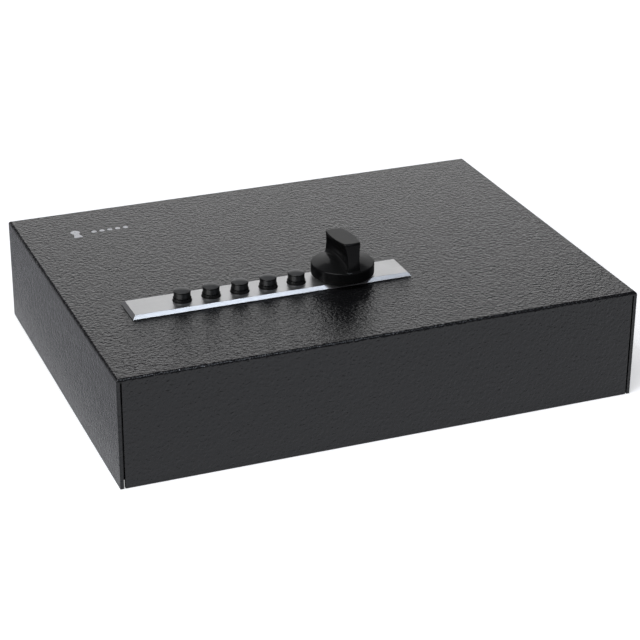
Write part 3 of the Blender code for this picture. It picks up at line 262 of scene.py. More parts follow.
def powder_coat(name, depth):
    """Black powder coat: rounded wrinkles a few millimetres long over a fine orange peel."""
    mat, tree, shader = new_material(name)
    vector = place(tree)
    colour = ramp(tree, noise(tree, vector, 1.2 * MM, 3.0),
                  ((0.3, (0.003, 0.003, 0.0034)), (0.7, (0.007, 0.007, 0.0076))))
    tree.links.new(colour, shader.inputs["Base Color"])
    cells = node(tree, "ShaderNodeTexVoronoi", feature="SMOOTH_F1", Scale=1.0 / (2.2 * MM),
                 Smoothness=0.7, Randomness=1.0)
    tree.links.new(vector, cells.inputs["Vector"])
    wrinkle = noise(tree, vector, 1.7 * MM, 2.0, 0.5, 0.6)
    blend = math_node(tree, "ADD", math_node(tree, "MULTIPLY", cells.outputs["Distance"], -0.5),
                      wrinkle)
    peel = noise(tree, vector, 0.7 * MM, 1.0)
    coarse = bump(tree, shader, blend, depth)
    bump(tree, shader, peel, depth * 0.12, under=coarse)
    rough = remap(tree, noise(tree, vector, 9.0 * MM, 2.0), 0.17, 0.26)
    tree.links.new(rough, shader.inputs["Roughness"])
    shader.inputs["IOR"].default_value = 1.58
    return mat


def satin_aluminium():
    """Aluminium brushed along X, with a little tarnish from handling."""
    mat, tree, shader = new_material("satin_aluminium")
    shader.inputs["Metallic"].default_value = 1.0
    streaks = noise(tree, place(tree, (0.02, 1.0, 1.0)), 0.25 * MM, 3.0, 0.6)
    clouds = noise(tree, place(tree), 14.0 * MM, 3.0)
    shade = math_node(tree, "ADD", math_node(tree, "MULTIPLY", streaks, 0.5),
                      math_node(tree, "MULTIPLY", clouds, 0.5))
    colour = ramp(tree, shade, ((0.3, (0.64, 0.645, 0.65)), (0.7, (0.78, 0.78, 0.78))))
    tree.links.new(colour, shader.inputs["Base Color"])
    tree.links.new(remap(tree, streaks, 0.30, 0.44), shader.inputs["Roughness"])
    bump(tree, shader, streaks, 0.008 * MM)
    return mat


def moulded_plastic(name, base, painted_top_tone, shine, low, high, gloss):
    """Black moulded plastic with a fine spark-eroded grain, its upward faces painted paler as
    painted light from above, over a random mottle.
    Its roughness goes from low to high, and gloss is the weight of its clear skin."""
    mat, tree, shader = new_material(name)
    vector = place(tree)
    grain = noise(tree, vector, 0.35 * MM, 2.0)
    coords = tree.nodes.new("ShaderNodeTexCoord")
    split = tree.nodes.new("ShaderNodeSeparateXYZ")
    tree.links.new(coords.outputs["Normal"], split.inputs["Vector"])
    mottle = remap(tree, noise(tree, vector, 5.0 * MM, 2.0), -0.15, 0.15)
    # Upward faces are painted paler: a painted highlight of the light from above. The mottle is
    # random tone.
    top_light_and_mottle = math_node(tree, "ADD", remap(tree, split.outputs["Z"], 0.0, 0.85, 0.55, 0.9), mottle)
    colour = ramp(tree, top_light_and_mottle, ((0.1, (base, base, base * 1.05)), (0.9, (painted_top_tone, painted_top_tone, painted_top_tone))))
    tree.links.new(colour, shader.inputs["Base Color"])
    tree.links.new(remap(tree, noise(tree, vector, 3.0 * MM, 3.0), low, high),
                   shader.inputs["Roughness"])
    shader.inputs["Specular IOR Level"].default_value = shine
    shader.inputs["Coat Weight"].default_value = gloss
    shader.inputs["Coat Roughness"].default_value = 0.13
    bump(tree, shader, grain, 0.01 * MM)
    return mat


def zinc_plate():
    """Zinc-plated steel: cool grey with a faint mottle and fine rolling lines."""
    mat, tree, shader = new_material("zinc_plate")
    shader.inputs["Metallic"].default_value = 1.0
    vector = place(tree)
    mottle = noise(tree, vector, 6.0 * MM, 4.0, 0.6, 0.8)
    colour = ramp(tree, mottle, ((0.3, (0.42, 0.43, 0.45)), (0.55, (0.56, 0.57, 0.58)),
                                 (0.75, (0.64, 0.63, 0.58))))
    tree.links.new(colour, shader.inputs["Base Color"])
    lines = noise(tree, place(tree, (0.05, 1.0, 1.0)), 0.4 * MM, 2.0)
    tree.links.new(remap(tree, mottle, 0.3, 0.5), shader.inputs["Roughness"])
    bump(tree, shader, lines, 0.01 * MM)
    return mat


def cast_zinc():
    """Cast zinc alloy: dull grey with a sandy skin."""
    mat, tree, shader = new_material("cast_zinc")
    shader.inputs["Metallic"].default_value = 1.0
    vector = place(tree)
    colour = ramp(tree, noise(tree, vector, 8.0 * MM, 4.0),
                  ((0.3, (0.34, 0.34, 0.35)), (0.7, (0.46, 0.46, 0.47))))
    tree.links.new(colour, shader.inputs["Base Color"])
    sand = noise(tree, vector, 0.5 * MM, 3.0)
    tree.links.new(remap(tree, sand, 0.45, 0.65), shader.inputs["Roughness"])
    bump(tree, shader, sand, 0.04 * MM)
    return mat


def turned_brass():
    """Brass with fine turning marks and darker age spots."""
    mat, tree, shader = new_material("turned_brass")
    shader.inputs["Metallic"].default_value = 1.0
    vector = place(tree)
    colour = ramp(tree, noise(tree, vector, 2.5 * MM, 4.0),
                  ((0.3, (0.45, 0.30, 0.11)), (0.7, (0.72, 0.53, 0.24))))
    tree.links.new(colour, shader.inputs["Base Color"])
    marks = noise(tree, place(tree, (1.0, 0.1, 0.1)), 0.15 * MM, 2.0)
    tree.links.new(remap(tree, marks, 0.2, 0.4), shader.inputs["Roughness"])
    bump(tree, shader, marks, 0.01 * MM)
    return mat


def soft_rubber():
    """Matte black rubber with a dusty bloom."""
    mat, tree, shader = new_material("soft_rubber")
    vector = place(tree)
    colour = ramp(tree, noise(tree, vector, 4.0 * MM, 4.0),
                  ((0.35, (0.014, 0.014, 0.014)), (0.7, (0.035, 0.034, 0.033))))
    tree.links.new(colour, shader.inputs["Base Color"])
    grain = noise(tree, vector, 0.4 * MM, 2.0)
    tree.links.new(remap(tree, grain, 0.65, 0.9), shader.inputs["Roughness"])
    bump(tree, shader, grain, 0.03 * MM)
    return mat


def open_cell_foam():
    """Charcoal foam full of small open cells, with painted shade in their hollows."""
    mat, tree, shader = new_material("open_cell_foam")
    vector = place(tree)
    cells = node(tree, "ShaderNodeTexVoronoi", feature="F1", Scale=1.0 / (0.9 * MM))
    tree.links.new(vector, cells.inputs["Vector"])
    # The cells' hollows are painted darkest: painted shade in the open pores.
    colour = ramp(tree, cells.outputs["Distance"],
                  ((0.1, (0.008, 0.008, 0.009)), (0.45, (0.045, 0.045, 0.05)),
                   (0.8, (0.075, 0.075, 0.082))))
    tree.links.new(colour, shader.inputs["Base Color"])
    tree.links.new(remap(tree, noise(tree, vector, 6.0 * MM), 0.85, 1.0),
                   shader.inputs["Roughness"])
    shader.inputs["Sheen Weight"].default_value = 0.25
    bump(tree, shader, cells.outputs["Distance"], 0.25 * MM)
    return mat


def printed_silver():
    """Silver screen print, a little worn in a fine random pattern."""
    mat, tree, shader = new_material("printed_silver")
    vector = place(tree)
    worn = noise(tree, vector, 0.8 * MM, 3.0)
    colour = ramp(tree, worn, ((0.25, (0.30, 0.30, 0.31)), (0.5, (0.60, 0.60, 0.62)),
                               (0.8, (0.70, 0.70, 0.72))))
    tree.links.new(colour, shader.inputs["Base Color"])
    tree.links.new(remap(tree, worn, 0.35, 0.55), shader.inputs["Roughness"])
    bump(tree, shader, noise(tree, vector, 2.4 * MM, 2.0, 0.45, 0.6), 0.1 * MM)
    return mat


# ---------------------------------------------------------------- mesh helpers

def finish_mesh(name, bm, mat, angle=40.0):
    """Make an object of the geometry, smooth but for edges sharper than the angle."""
    bmesh.ops.recalc_face_normals(bm, faces=bm.faces)
    mesh = bpy.data.meshes.new(name)
    bm.to_mesh(mesh)
    bm.free()
    mesh.shade_smooth()
    mesh.set_sharp_from_angle(angle=math.radians(angle))
    if mat:
        mesh.materials.append(mat)
    obj = bpy.data.objects.new(name, mesh)
    bpy.context.scene.collection.objects.link(obj)
    return obj


def apply_modifiers(obj):
    """Replace the object's mesh by its modified shape."""
    graph = bpy.context.evaluated_depsgraph_get()
    shaped = bpy.data.meshes.new_from_object(obj.evaluated_get(graph))
    for mat in obj.data.materials:
        if mat and mat.name not in shaped.materials:
            shaped.materials.append(mat)
    obj.modifiers.clear()
    obj.data = shaped


def cut(obj, bm, operation="DIFFERENCE"):
    """Apply a Boolean with the geometry, and remove the tool."""
    tool = finish_mesh(obj.name + "_tool", bm, None)
    modifier = obj.modifiers.new("Cut", "BOOLEAN")
    modifier.operation = operation
    modifier.object = tool
    apply_modifiers(obj)
    bpy.data.objects.remove(tool)


def even_normals(obj, angle):
    """Weight the normals by face area, so that flat faces stay flat beside their bends."""
    obj.data.set_sharp_from_angle(angle=math.radians(angle))
    modifier = obj.modifiers.new("Normals", "WEIGHTED_NORMAL")
    modifier.keep_sharp = True
    modifier.weight = 100
    apply_modifiers(obj)


def add_box(bm, x, y, z):
    """Box between pairs of X, Y and Z limits."""
    verts = [bm.verts.new((a, b, c)) for c in z for b in y for a in x]
    loops = ((0, 2, 3, 1), (4, 5, 7, 6), (0, 1, 5, 4), (2, 6, 7, 3), (0, 4, 6, 2), (1, 3, 7, 5))
    for loop in loops:
        bm.faces.new([verts[i] for i in loop])


def circle(cx, cy, radius, sides):
    """Points round a circle."""
    step = 2 * math.pi / sides
    return [(cx + radius * math.cos(i * step), cy + radius * math.sin(i * step))
            for i in range(sides)]


def add_prism(bm, outline, axis, low, high):
    """Extrude a closed outline of pairs along X, Y or Z."""
    order = {"X": lambda a, b, h: (h, a, b), "Y": lambda a, b, h: (a, h, b),
             "Z": lambda a, b, h: (a, b, h)}[axis]
    rings = [[bm.verts.new(order(a, b, h)) for a, b in outline] for h in (low, high)]
    count = len(outline)
    for i in range(count):
        j = (i + 1) % count
        bm.faces.new((rings[0][i], rings[0][j], rings[1][j], rings[1][i]))
    bm.faces.new(rings[0][::-1])
    bm.faces.new(rings[1])


def new_box(x, y, z):
    """Geometry of a single box."""
    bm = bmesh.new()
    add_box(bm, x, y, z)
    return bm


def new_prism(outline, axis, low, high):
    """Geometry of a single prism."""
    bm = bmesh.new()
    add_prism(bm, outline, axis, low, high)
    return bm


def add_turned(bm, centre, profile, sides):
    """Revolve (radius, height) pairs: a solid if the profile starts at radius 0, or a ring."""
    rings = []
    for radius, height in profile:
        if radius == 0:
            rings.append([bm.verts.new((centre[0], centre[1], height))])
        else:
            rings.append([bm.verts.new((x, y, height))
                          for x, y in circle(centre[0], centre[1], radius, sides)])
    last = len(rings) - 1 if profile[0][0] == 0 else len(rings)
    for k in range(last):
        lower, upper = rings[k], rings[(k + 1) % len(rings)]
        for i in range(sides):
            j = (i + 1) % sides
            face = [lower[0]] if len(lower) == 1 else [lower[i], lower[j]]
            face += [upper[0]] if len(upper) == 1 else [upper[j], upper[i]]
            bm.faces.new(face)


def arc(centre, radius, start, end, steps):
    """Points along an arc, from one angle to another in degrees."""
    points = []
    for k in range(steps + 1):
        angle = math.radians(start + (end - start) * k / steps)
        points.append((centre[0] + radius * math.cos(angle), centre[1] + radius * math.sin(angle)))
    return points


def corner_ring(bm, x, y, z, inset):
    """Ring of vertices round a rectangle whose corners are only just broken."""
    corners = ((x[1], y[0], -90), (x[1], y[1], 0), (x[0], y[1], 90), (x[0], y[0], 180))
    ring = []
    for cx, cy, start in corners:
        side_x = 1 if cx == x[1] else -1
        side_y = 1 if cy == y[1] else -1
        centre = (cx - side_x * (inset + CORNER_R), cy - side_y * (inset + CORNER_R))
        quarter = arc(centre, CORNER_R, start, start + 90, 4)
        ring += [bm.verts.new((px, py, z)) for px, py in quarter]
    return ring


def add_rings(bm, rings):
    """Skin a stack of rings and close both ends."""
    count = len(rings[0])
    for lower, upper in zip(rings, rings[1:]):
        for i in range(count):
            j = (i + 1) % count
            bm.faces.new((lower[i], lower[j], upper[j], upper[i]))
    bm.faces.new(rings[0][::-1])
    bm.faces.new(rings[-1])


def node_centre(name):
    """Middle of a CAD node's box in X and Y."""
    low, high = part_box(name)
    return (low.x + high.x) / 2, (low.y + high.y) / 2


def button_xs():
    """X of the five buttons' axes."""
    return [node_centre("push_button_%d" % i)[0] for i in BUTTONS]


# ---------------------------------------------------------------- lid and faceplate

def lock_hole_cutters(low, high):
    """Cutters for the bushes and the spindle."""
    bm = bmesh.new()
    for x in button_xs():
        add_prism(bm, circle(x, LOCK_Y, BUSH_HOLE_R, HOLE_SIDES), "Z", low, high)
    add_prism(bm, circle(KNOB_X, LOCK_Y, SPINDLE_HOLE_R, HOLE_SIDES), "Z", low, high)
    return bm


def stud_xs():
    """X of the faceplate's two studs."""
    return [node_centre(name)[0] for name in ("stud_nut_left", "stud_nut_right")]


def make_lid(coat):
    """Cover of folded sheet: round bends along the top, open seams beside the front corners,
    trimmed at the hinge and drilled for the lock."""
    low, high = LID_LOW, LID_HIGH
    x, y = (low.x, high.x), (low.y, high.y)
    bm = bmesh.new()
    rings = [corner_ring(bm, x, y, low.z, 0.0)]
    for out, up in arc((0.0, 0.0), BEND, 0, 90, 12):
        rings.append(corner_ring(bm, x, y, high.z - BEND + up, BEND - out))
    add_rings(bm, rings)
    lid = finish_mesh("lid_cover", bm, coat)
    cut(lid, new_box((x[0] + SHEET, x[1] - SHEET), (y[0] + SHEET, y[1] - SHEET),
                     (-PAST, high.z - SHEET)))
    seams = bmesh.new()
    for side in (-1, 1):
        edge = side * (high.x - SEAM_EDGE)
        add_box(seams, sorted((edge, edge - side * SEAM_WIDTH)),
                (low.y - PAST, low.y + SHEET + PAST), (-PAST, high.z - SEAM_TOP))
    cut(lid, seams)
    start = low.y + SKIRT_RISE_START
    outline = [(start, -PAST), (high.y + PAST, -PAST), (high.y + PAST, low.z + SKIRT_RISE),
               (start, low.z - SKIRT_DIP)]
    cut(lid, new_prism(outline, "X", low.x - PAST, high.x + PAST))
    reach = high.x - SHEET - 2 * GAP
    cut(lid, new_box((-reach, reach), (HINGE_Y + HINGE_CLEAR, high.y + PAST),
                     (-PAST, REAR_SKIRT_Z)))
    outline = arc((HINGE_Y, HINGE_Z), HEEL_R, -90, 0, 12)
    outline += [(high.y + PAST, HINGE_Z), (high.y + PAST, -PAST), (HINGE_Y, -PAST)]
    cut(lid, new_prism(outline, "X", low.x - PAST, high.x + PAST))
    holes = lock_hole_cutters(high.z - SHEET - PAST, high.z + PAST)
    for stud in stud_xs():
        add_prism(holes, circle(stud, LOCK_Y, STUD_HOLE_R, SMALL_SIDES), "Z",
                  high.z - SHEET - PAST, high.z + PAST)
    cut(lid, holes)
    even_normals(lid, 35)
    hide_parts("lid_shell")
    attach(lid, "lid")


def make_faceplate(mat):
    """Bar with a wide bevel all round, its edges just broken, and two studs below."""
    low, high = PLATE_LOW, PLATE_HIGH
    bm = new_box((low.x, high.x), (low.y, high.y), (PLATE_BOTTOM, high.z))
    rim = [e for e in bm.edges if all(abs(v.co.z - high.z) < 1e-6 for v in e.verts)]
    bmesh.ops.bevel(bm, geom=rim, offset=PLATE_BEVEL, segments=1, affect="EDGES")
    plate = finish_mesh("faceplate_bar", bm, mat, 20)
    edge = plate.modifiers.new("Break", "BEVEL")
    edge.width = PLATE_EDGE
    edge.segments = 3
    edge.limit_method = "ANGLE"
    edge.angle_limit = math.radians(15)
    edge.harden_normals = True
    apply_modifiers(plate)
    studs = bmesh.new()
    for x in stud_xs():
        add_prism(studs, circle(x, LOCK_Y, STUD_R, SMALL_SIDES), "Z", low.z,
                  PLATE_BOTTOM + STUD_LAP)
    cut(plate, studs, "UNION")
    cut(plate, lock_hole_cutters(PLATE_BOTTOM - PAST, high.z + PAST))
    even_normals(plate, 15)
    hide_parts("faceplate")
    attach(plate, "lid")


# ---------------------------------------------------------------- buttons and knob

def make_button(index, mat):
    """Domed button on its stem, with the fork that works the code wheel."""
    name = "push_button_%d" % index
    low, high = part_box(name)
    x = node_centre(name)[0]
    top = high.z
    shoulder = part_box("button_bush_1")[0].z - GAP
    stem_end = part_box("lock_chamber")[1].z - STEM_DROP
    profile = [(0, top)]
    for k in range(1, 9):
        share = k / 8
        profile.append((DOME_R * share, top - DOME_RISE * share ** DOME_POWER))
    profile += arc((BUTTON_R - CAP_EDGE_R, top - CAP_EDGE_DROP), CAP_EDGE_R, 75, 0, 6)
    wall = BUTTON_R - CAP_RELIEF
    profile += [(BUTTON_R, top - CAP_LAND), (wall, top - CAP_LAND - 2 * CAP_RELIEF),
                (wall, shoulder), (SHOULDER_R, shoulder),
                (SHOULDER_R, shoulder - FLANGE_THICK), (STEM_R, shoulder - FLANGE_THICK),
                (STEM_R, stem_end), (0, stem_end)]
    bm = bmesh.new()
    add_turned(bm, (x, LOCK_Y), profile, BUTTON_SIDES)
    button = finish_mesh("button_cap_%d" % index, bm, mat, 30)
    prong = low.z + PRONG
    gape = prong + 2 * FORK_SLOT
    y0, y1 = LOCK_Y - FORK_SLOT - FORK_BACK, LOCK_Y + FORK_REACH
    spine = LOCK_Y - FORK_SLOT
    outline = [(y0, low.z), (y1, low.z), (y1, prong), (spine, prong), (spine, gape), (y1, gape),
               (y1, stem_end + GAP), (y0, stem_end + GAP)]
    cut(button, new_prism(outline, "X", x - FORK_HALF, x + FORK_HALF), "UNION")
    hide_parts(name)
    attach(button, "button_%d" % index)


def make_bush(index, mat):
    """Sleeve round a button: a flared collar on the plate and a flange below the lid."""
    name = "button_bush_%d" % index
    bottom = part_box(name)[0].z
    x = node_centre(name)[0]
    plate = PLATE_HIGH.z
    flange = bottom + FLANGE_THICK
    profile = [(BUSH_BORE_R, bottom), (BUSH_FLANGE_R, bottom), (BUSH_FLANGE_R, flange),
               (BUSH_R, flange), (BUSH_R, plate + COLLAR_SEAT / 2)]
    for k in range(9):
        share = k / 8
        flare = BUSH_R - COLLAR_STEP + COLLAR_FLARE * (1 - share) ** 3
        profile.append((flare, plate + COLLAR_SEAT + (COLLAR_RISE - COLLAR_SEAT) * share))
    profile += [(BUSH_BORE_R, plate + COLLAR_RISE)]
    bm = bmesh.new()
    add_turned(bm, (x, LOCK_Y), profile, BUTTON_SIDES)
    bush = finish_mesh("button_collar_%d" % index, bm, mat, 35)
    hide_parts(name)
    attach(bush, "lid")


def grip_shape(height):
    """Half-width at the grip's ends and extra half-width at its middle, at a height 0 to 1."""
    for (h0, e0, b0), (h1, e1, b1) in zip(GRIP_STATIONS, GRIP_STATIONS[1:]):
        if height <= h1:
            t = (height - h0) / (h1 - h0)
            t = t * t * (3 - 2 * t)
            return (e0 + (e1 - e0) * t) * MM, (b0 + (b1 - b0) * t) * MM
    return GRIP_STATIONS[-1][1] * MM, GRIP_STATIONS[-1][2] * MM


def grip_ring(height, pull):
    """Plan outline of the grip: round ends and sides that bulge or scoop. The ends are pulled in
    by the given amount, and the sides by a fifth of it."""
    end, bulge = grip_shape(height)
    end -= pull / 5
    reach = GRIP_REACH - GRIP_TAPER * height ** GRIP_TAPER_POWER - pull
    length = math.sqrt(reach * reach - end * end)
    side = []
    for k in range(GRIP_POINTS + 1):
        t = -1 + 2 * k / GRIP_POINTS
        side.append((end + bulge * (1 - t * t) ** GRIP_FULLNESS, t * length))
    cap = []
    for k in range(1, 8):
        a = math.asin(end / reach) * (1 - k / 4)
        cap.append((reach * math.sin(a), reach * math.cos(a)))
    left = [(-x, y) for x, y in reversed(side)]
    return side + cap + left + [(-x, -y) for x, y in cap]


def grip_levels(rise):
    """Heights from 0 to 1 up the grip with how far its ends are pulled in, so that the top's
    ends are round."""
    straight = 1 - GRIP_EDGE / rise
    levels = [(straight * k / 24, 0.0) for k in range(24)]
    for out, up in arc((0.0, 0.0), GRIP_EDGE, 0, 80, 7):
        levels.append((straight + up / rise, GRIP_EDGE - out))
    return levels


def make_knob(mat):
    """Moulded knob: foot and scooped grip melted together with small fillets."""
    foot_r = (KNOB_HIGH.x - KNOB_LOW.x) / 2
    bottom = KNOB_LOW.z
    profile = [(0, bottom), (foot_r - FOOT_EDGE_R, bottom)]
    profile += arc((foot_r - FOOT_EDGE_R, bottom + FOOT_EDGE_R), FOOT_EDGE_R, -80, 0, 4)
    profile += arc((foot_r - RIM_EDGE_R, KNOB_RIM - RIM_EDGE_R), RIM_EDGE_R, 0, 68, 5)
    profile += [(radius * MM, KNOB_RIM + rise * MM) for radius, rise in FOOT_CONE]
    bm = bmesh.new()
    add_turned(bm, (KNOB_X, LOCK_Y), profile, KNOB_SIDES)
    knob = finish_mesh("turn_knob", bm, mat, 180)
    grip = bmesh.new()
    rings = []
    for height, pull in grip_levels(KNOB_CREST - GRIP_ROOT):
        ring = []
        for x, y in grip_ring(height, pull):
            crest = KNOB_CREST + GRIP_TILT * y
            z = GRIP_ROOT + (crest - GRIP_ROOT) * height
            ring.append(grip.verts.new((KNOB_X + x, LOCK_Y + y, z)))
        rings.append(ring)
    add_rings(grip, rings)
    cut(knob, grip, "UNION")
    bore = circle(KNOB_X, LOCK_Y, SPINDLE_BORE_R, HOLE_SIDES)
    cut(knob, new_prism(bore, "Z", bottom - PAST, bottom + SPINDLE_SOCKET))
    screw = circle(KNOB_X, bottom + SET_SCREW_RISE, SET_SCREW_HOLE_R, SCREW_SIDES)
    cut(knob, new_prism(screw, "Y", LOCK_Y, KNOB_HIGH.y + PAST))
    remesh = knob.modifiers.new("Skin", "REMESH")
    remesh.mode = "VOXEL"
    remesh.voxel_size = SKIN_VOXEL
    remesh.use_smooth_shade = True
    smooth = knob.modifiers.new("Soften", "SMOOTH")
    smooth.factor = 0.5
    smooth.iterations = 5
    apply_modifiers(knob)
    knob.data.shade_smooth()
    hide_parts("knob")
    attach(knob, "knob")


# ---------------------------------------------------------------- foam

def foam_block(name, low, high, step, fixed_z, surface, mat):
    """Block of foam with a flat face at one height. Its free face follows the surface function,
    which gives the height at an X and Y."""
    bm = bmesh.new()
    nx = max(2, round((high.x - low.x) / step))
    ny = max(2, round((high.y - low.y) / step))
    free, fixed = [], []
    for j in range(ny + 1):
        y = low.y + (high.y - low.y) * j / ny
        free.append([])
        fixed.append([])
        for i in range(nx + 1):
            x = low.x + (high.x - low.x) * i / nx
            free[j].append(bm.verts.new((x, y, surface(x, y))))
            fixed[j].append(bm.verts.new((x, y, fixed_z)))
    for j in range(ny):
        for i in range(nx):
            for grid in (free, fixed):
                bm.faces.new((grid[j][i], grid[j][i + 1], grid[j + 1][i + 1], grid[j + 1][i]))
    loop = [(0, i) for i in range(nx)] + [(j, nx) for j in range(ny)]
    loop += [(ny, i) for i in range(nx, 0, -1)] + [(j, 0) for j in range(ny, 0, -1)]
    for (j0, i0), (j1, i1) in zip(loop, loop[1:] + loop[:1]):
        bm.faces.new((free[j0][i0], free[j1][i1], fixed[j1][i1], fixed[j0][i0]))
    return finish_mesh(name, bm, mat, 50)


def edge_drop(x, y, low, high):
    """How far a foam block's free face drops near its cut edges, as a rounded corner."""
    gap = min(x - low.x, high.x - x, y - low.y, high.y - y)
    if gap >= PAD_EDGE_R:
        return 0.0
    return PAD_EDGE_R - math.sqrt(max(0.0, PAD_EDGE_R * PAD_EDGE_R - (PAD_EDGE_R - gap) ** 2))


def make_base_pad(mat):
    """Flat foam sheet in the tray, a little uneven, its upper edge soft."""
    low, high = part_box("base_foam_pad")

    def surface(x, y):
        wave = PAD_WAVE * math.sin(x * PAD_WAVE_X) * math.cos(y * PAD_WAVE_Y) - PAD_WAVE
        return high.z + wave - edge_drop(x, y, low, high)

    pad = foam_block("tray_pad", low, high, PAD_STEP, low.z, surface, mat)
    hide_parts("base_foam_pad")
    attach(pad, "base")


def make_lid_pad(mat):
    """Egg-crate foam under the lid: rows of soft peaks that hold the contents down."""
    low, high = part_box("lid_foam_pad")
    pitch_x = (high.x - low.x) / CRATE_COLUMNS
    pitch_y = (high.y - low.y) / CRATE_ROWS

    def surface(x, y):
        peak = math.cos(2 * math.pi * (x - low.x) / pitch_x)
        peak *= math.cos(2 * math.pi * (y - low.y) / pitch_y)
        height = low.z + CRATE_MIDDLE + CRATE_SWING * peak
        return height + edge_drop(x, y, low, high)

    pad = foam_block("lid_pad", low, high, CRATE_STEP, high.z, surface, mat)
    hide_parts("lid_foam_pad")
    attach(pad, "lid")


# ---------------------------------------------------------------- printed mark

def keyhole(cx, cy, size):
    """Outline of a keyhole: a round head and a flared foot."""
    head = arc((cx, cy + size * 0.22), size * 0.26, -60, 240, 20)
    return head + [(cx - size * 0.24, cy - size * 0.5), (cx + size * 0.24, cy - size * 0.5)]


def make_mark(mat):
    """Plain generic print at the rear left: a keyhole and five dots for the five buttons."""
    low, high = LID_HIGH.z + PRINT_UNDER, LID_HIGH.z + PRINT_OVER
    shapes = {"print_keyhole": [keyhole(KEYHOLE_X, MARK_Y, KEYHOLE_SIZE)],
              "print_dots": [circle(DOT_X + DOT_PITCH * k, MARK_Y, DOT_R, DOT_SIDES)
                             for k in range(5)]}
    for name, outlines in shapes.items():
        bm = bmesh.new()
        for outline in outlines:
            add_prism(bm, outline, "Z", low, high)
        mark = finish_mesh(name, bm, mat)
        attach(mark, "lid")


# ---------------------------------------------------------------- stage, light and camera

def make_stage():
    """Plain white sweep: it shows as nearly pure white, and mirrors as pale grey."""
    mat, tree, shader = new_material("pale_floor")
    vector = place(tree)
    colour = ramp(tree, noise(tree, vector, 0.4, 3.0),
                  ((0.3, (0.80, 0.80, 0.815)), (0.7, (0.83, 0.83, 0.845))))
    tree.links.new(colour, shader.inputs["Base Color"])
    shader.inputs["Roughness"].default_value = 0.9
    shader.inputs["Specular IOR Level"].default_value = 0.1
    shader.inputs["Emission Color"].default_value = (1.0, 1.0, 1.0, 1.0)
    seen = tree.nodes.new("ShaderNodeLightPath").outputs["Is Camera Ray"]
    tree.links.new(math_node(tree, "MULTIPLY", seen, 0.5), shader.inputs["Emission Strength"])
    bm = bmesh.new()
    bmesh.ops.create_grid(bm, x_segments=1, y_segments=1, size=12.0)
    floor = finish_mesh("studio_floor", bm, mat)


def make_flag():
    """Grey card on the floor at the left, which only the box's glossy left side mirrors."""
    mat, tree, shader = new_material("grey_card")
    colour = ramp(tree, noise(tree, place(tree), 0.1, 2.0),
                  ((0.3, (0.40, 0.40, 0.42)), (0.7, (0.44, 0.44, 0.46))))
    tree.links.new(colour, shader.inputs["Base Color"])
    shader.inputs["Roughness"].default_value = 0.9
    bm = new_box((LID_LOW.x - FLAG_REACH, LID_LOW.x - FLAG_GAP),
                 (LID_LOW.y + FLAG_INSET, FLAG_END), (FLAG_LOW, FLAG_HIGH))
    card = finish_mesh("grey_card", bm, mat)
    card.visible_camera = False
    card.visible_diffuse = False
    card.visible_shadow = False
    card.visible_transmission = False


def make_world():
    """Dim studio surroundings, a little paler near the horizon."""
    world = bpy.data.worlds.new("studio")
    bpy.context.scene.world = world
    world.use_nodes = True
    tree = world.node_tree
    coords = tree.nodes.new("ShaderNodeTexCoord")
    split = tree.nodes.new("ShaderNodeSeparateXYZ")
    tree.links.new(coords.outputs["Generated"], split.inputs["Vector"])
    colour = ramp(tree, split.outputs["Z"],
                  ((0.0, (0.25, 0.25, 0.26)), (0.3, (0.07, 0.07, 0.075)),
                   (1.0, (0.05, 0.05, 0.06))))
    tree.links.new(colour, tree.nodes["Background"].inputs["Color"])


def area_light(name, place_at, target, size, power, colour=(1, 1, 1)):
    """Rectangular softbox that faces a target and isn't seen itself."""
    data = bpy.data.lights.new(name, "AREA")
    data.shape = "RECTANGLE"
    data.size, data.size_y = size
    data.energy = power
    data.color = colour
    lamp = bpy.data.objects.new(name, data)
    bpy.context.scene.collection.objects.link(lamp)
    lamp.location = place_at
    lamp.rotation_euler = (Vector(target) - Vector(place_at)).to_track_quat("-Z", "Y").to_euler()
    lamp.visible_camera = False


def make_lights():
    """A broad card behind and to the right, a small cool softbox overhead that lights the
    faceplate's front bevel, a small lamp that glints on edges, and a soft key light from the
    front left."""
    area_light("back_card", (0.82, 2.28, 0.85), (0.0, 0.0, 0.1), (1.75, 1.5), 7.8)
    area_light("bevel_box", (0.15, -0.39, 0.74), (-0.12, -0.05, 0.066), (0.28, 0.14), 0.62, COOL)
    area_light("glint", (-0.35, -0.39, 0.94), (0.0, -0.04, 0.07), (0.06, 0.06), 1.4, COOL)
    sun = bpy.data.lights.new("key", "SUN")
    sun.energy = KEY_POWER
    sun.angle = KEY_SPREAD
    lamp = bpy.data.objects.new("key", sun)
    bpy.context.scene.collection.objects.link(lamp)
    lamp.rotation_euler = Vector(KEY_AIM).to_track_quat("-Z", "Y").to_euler()


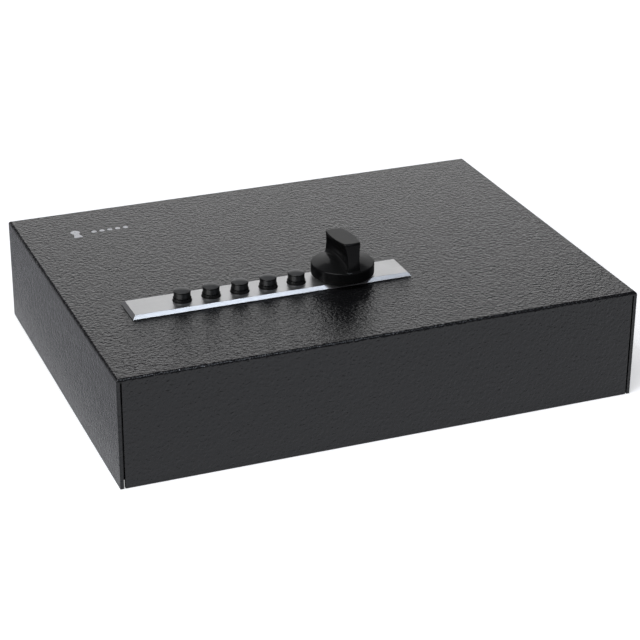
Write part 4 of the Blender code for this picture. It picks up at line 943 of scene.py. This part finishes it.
def make_camera():
    """Camera in front of the left corner, looking down on the box."""
    a, e = CAMERA_AZIMUTH, CAMERA_ELEVATION
    back = Vector((math.sin(a) * math.cos(e), -math.cos(a) * math.cos(e), math.sin(e)))
    right = Vector((0, 0, 1)).cross(back).normalized()
    up = back.cross(right)
    c, s = math.cos(CAMERA_ROLL), math.sin(CAMERA_ROLL)
    right, up = c * right + s * up, c * up - s * right
    data = bpy.data.cameras.new("camera")
    data.lens = CAMERA_LENS
    data.sensor_width = SENSOR
    camera = bpy.data.objects.new("camera", data)
    bpy.context.scene.collection.objects.link(camera)
    spot = back * CAMERA_DISTANCE + right * CAMERA_PAN[0] + up * CAMERA_PAN[1]
    turn = Matrix((right, up, back)).transposed().to_4x4()
    camera.matrix_world = Matrix.Translation(spot) @ turn
    bpy.context.scene.camera = camera


# ---------------------------------------------------------------- the object

def paint(names, mat):
    """Give CAD nodes their material."""
    for name in names:
        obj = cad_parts[name]
        if not obj.material_slots:
            obj.data.materials.append(mat)
        for slot in obj.material_slots:
            slot.material = mat


make_camera()
make_world()
make_lights()
make_stage()
make_flag()

coat = powder_coat("textured_powder_coat", 0.46 * MM)
smooth_coat = powder_coat("fine_powder_coat", 0.05 * MM)
aluminium = satin_aluminium()
# The second tone of each plastic is painted light on its upward faces, not its own colour.
knob_plastic = moulded_plastic("knob_plastic", base=0.0035, painted_top_tone=0.006, shine=0.04,
                               low=0.46, high=0.56, gloss=0.28)
button_plastic = moulded_plastic("button_plastic", base=0.003, painted_top_tone=0.06, shine=0.12,
                                 low=0.36, high=0.46, gloss=0.3)
zinc = zinc_plate()
casting = cast_zinc()
brass = turned_brass()
rubber = soft_rubber()
foam = open_cell_foam()

make_lid(coat)
make_faceplate(aluminium)
for number in BUTTONS:
    make_bush(number, button_plastic)
    make_button(number, button_plastic)
make_knob(knob_plastic)
make_base_pad(foam)
make_lid_pad(foam)
make_mark(printed_silver())

paint(["base_tray"], smooth_coat)
paint(["lock_chamber"], casting)
paint(["lid_stop_left", "lid_stop_right"], rubber)
paint(["fence_eccentric"] + ["code_wheel_%d" % i for i in BUTTONS], brass)
paint(["hinge_leaf_base", "hinge_leaf_lid", "hinge_pin", "strike_bracket", "strike_rivet_left",
       "strike_rivet_right", "lock_mounting_plate", "chamber_cover", "cover_screw_left",
       "cover_screw_right", "stud_nut_left", "stud_nut_right", "code_wheel_arbor",
       "spindle_bush", "bolt_guide", "knob_spindle", "knob_set_screw", "spindle_clip",
       "drive_cam", "fence_slide", "latch_bolt"] + ["button_spring_%d" % i for i in BUTTONS],
      zinc)

bpy.context.scene.view_settings.view_transform = "Standard"
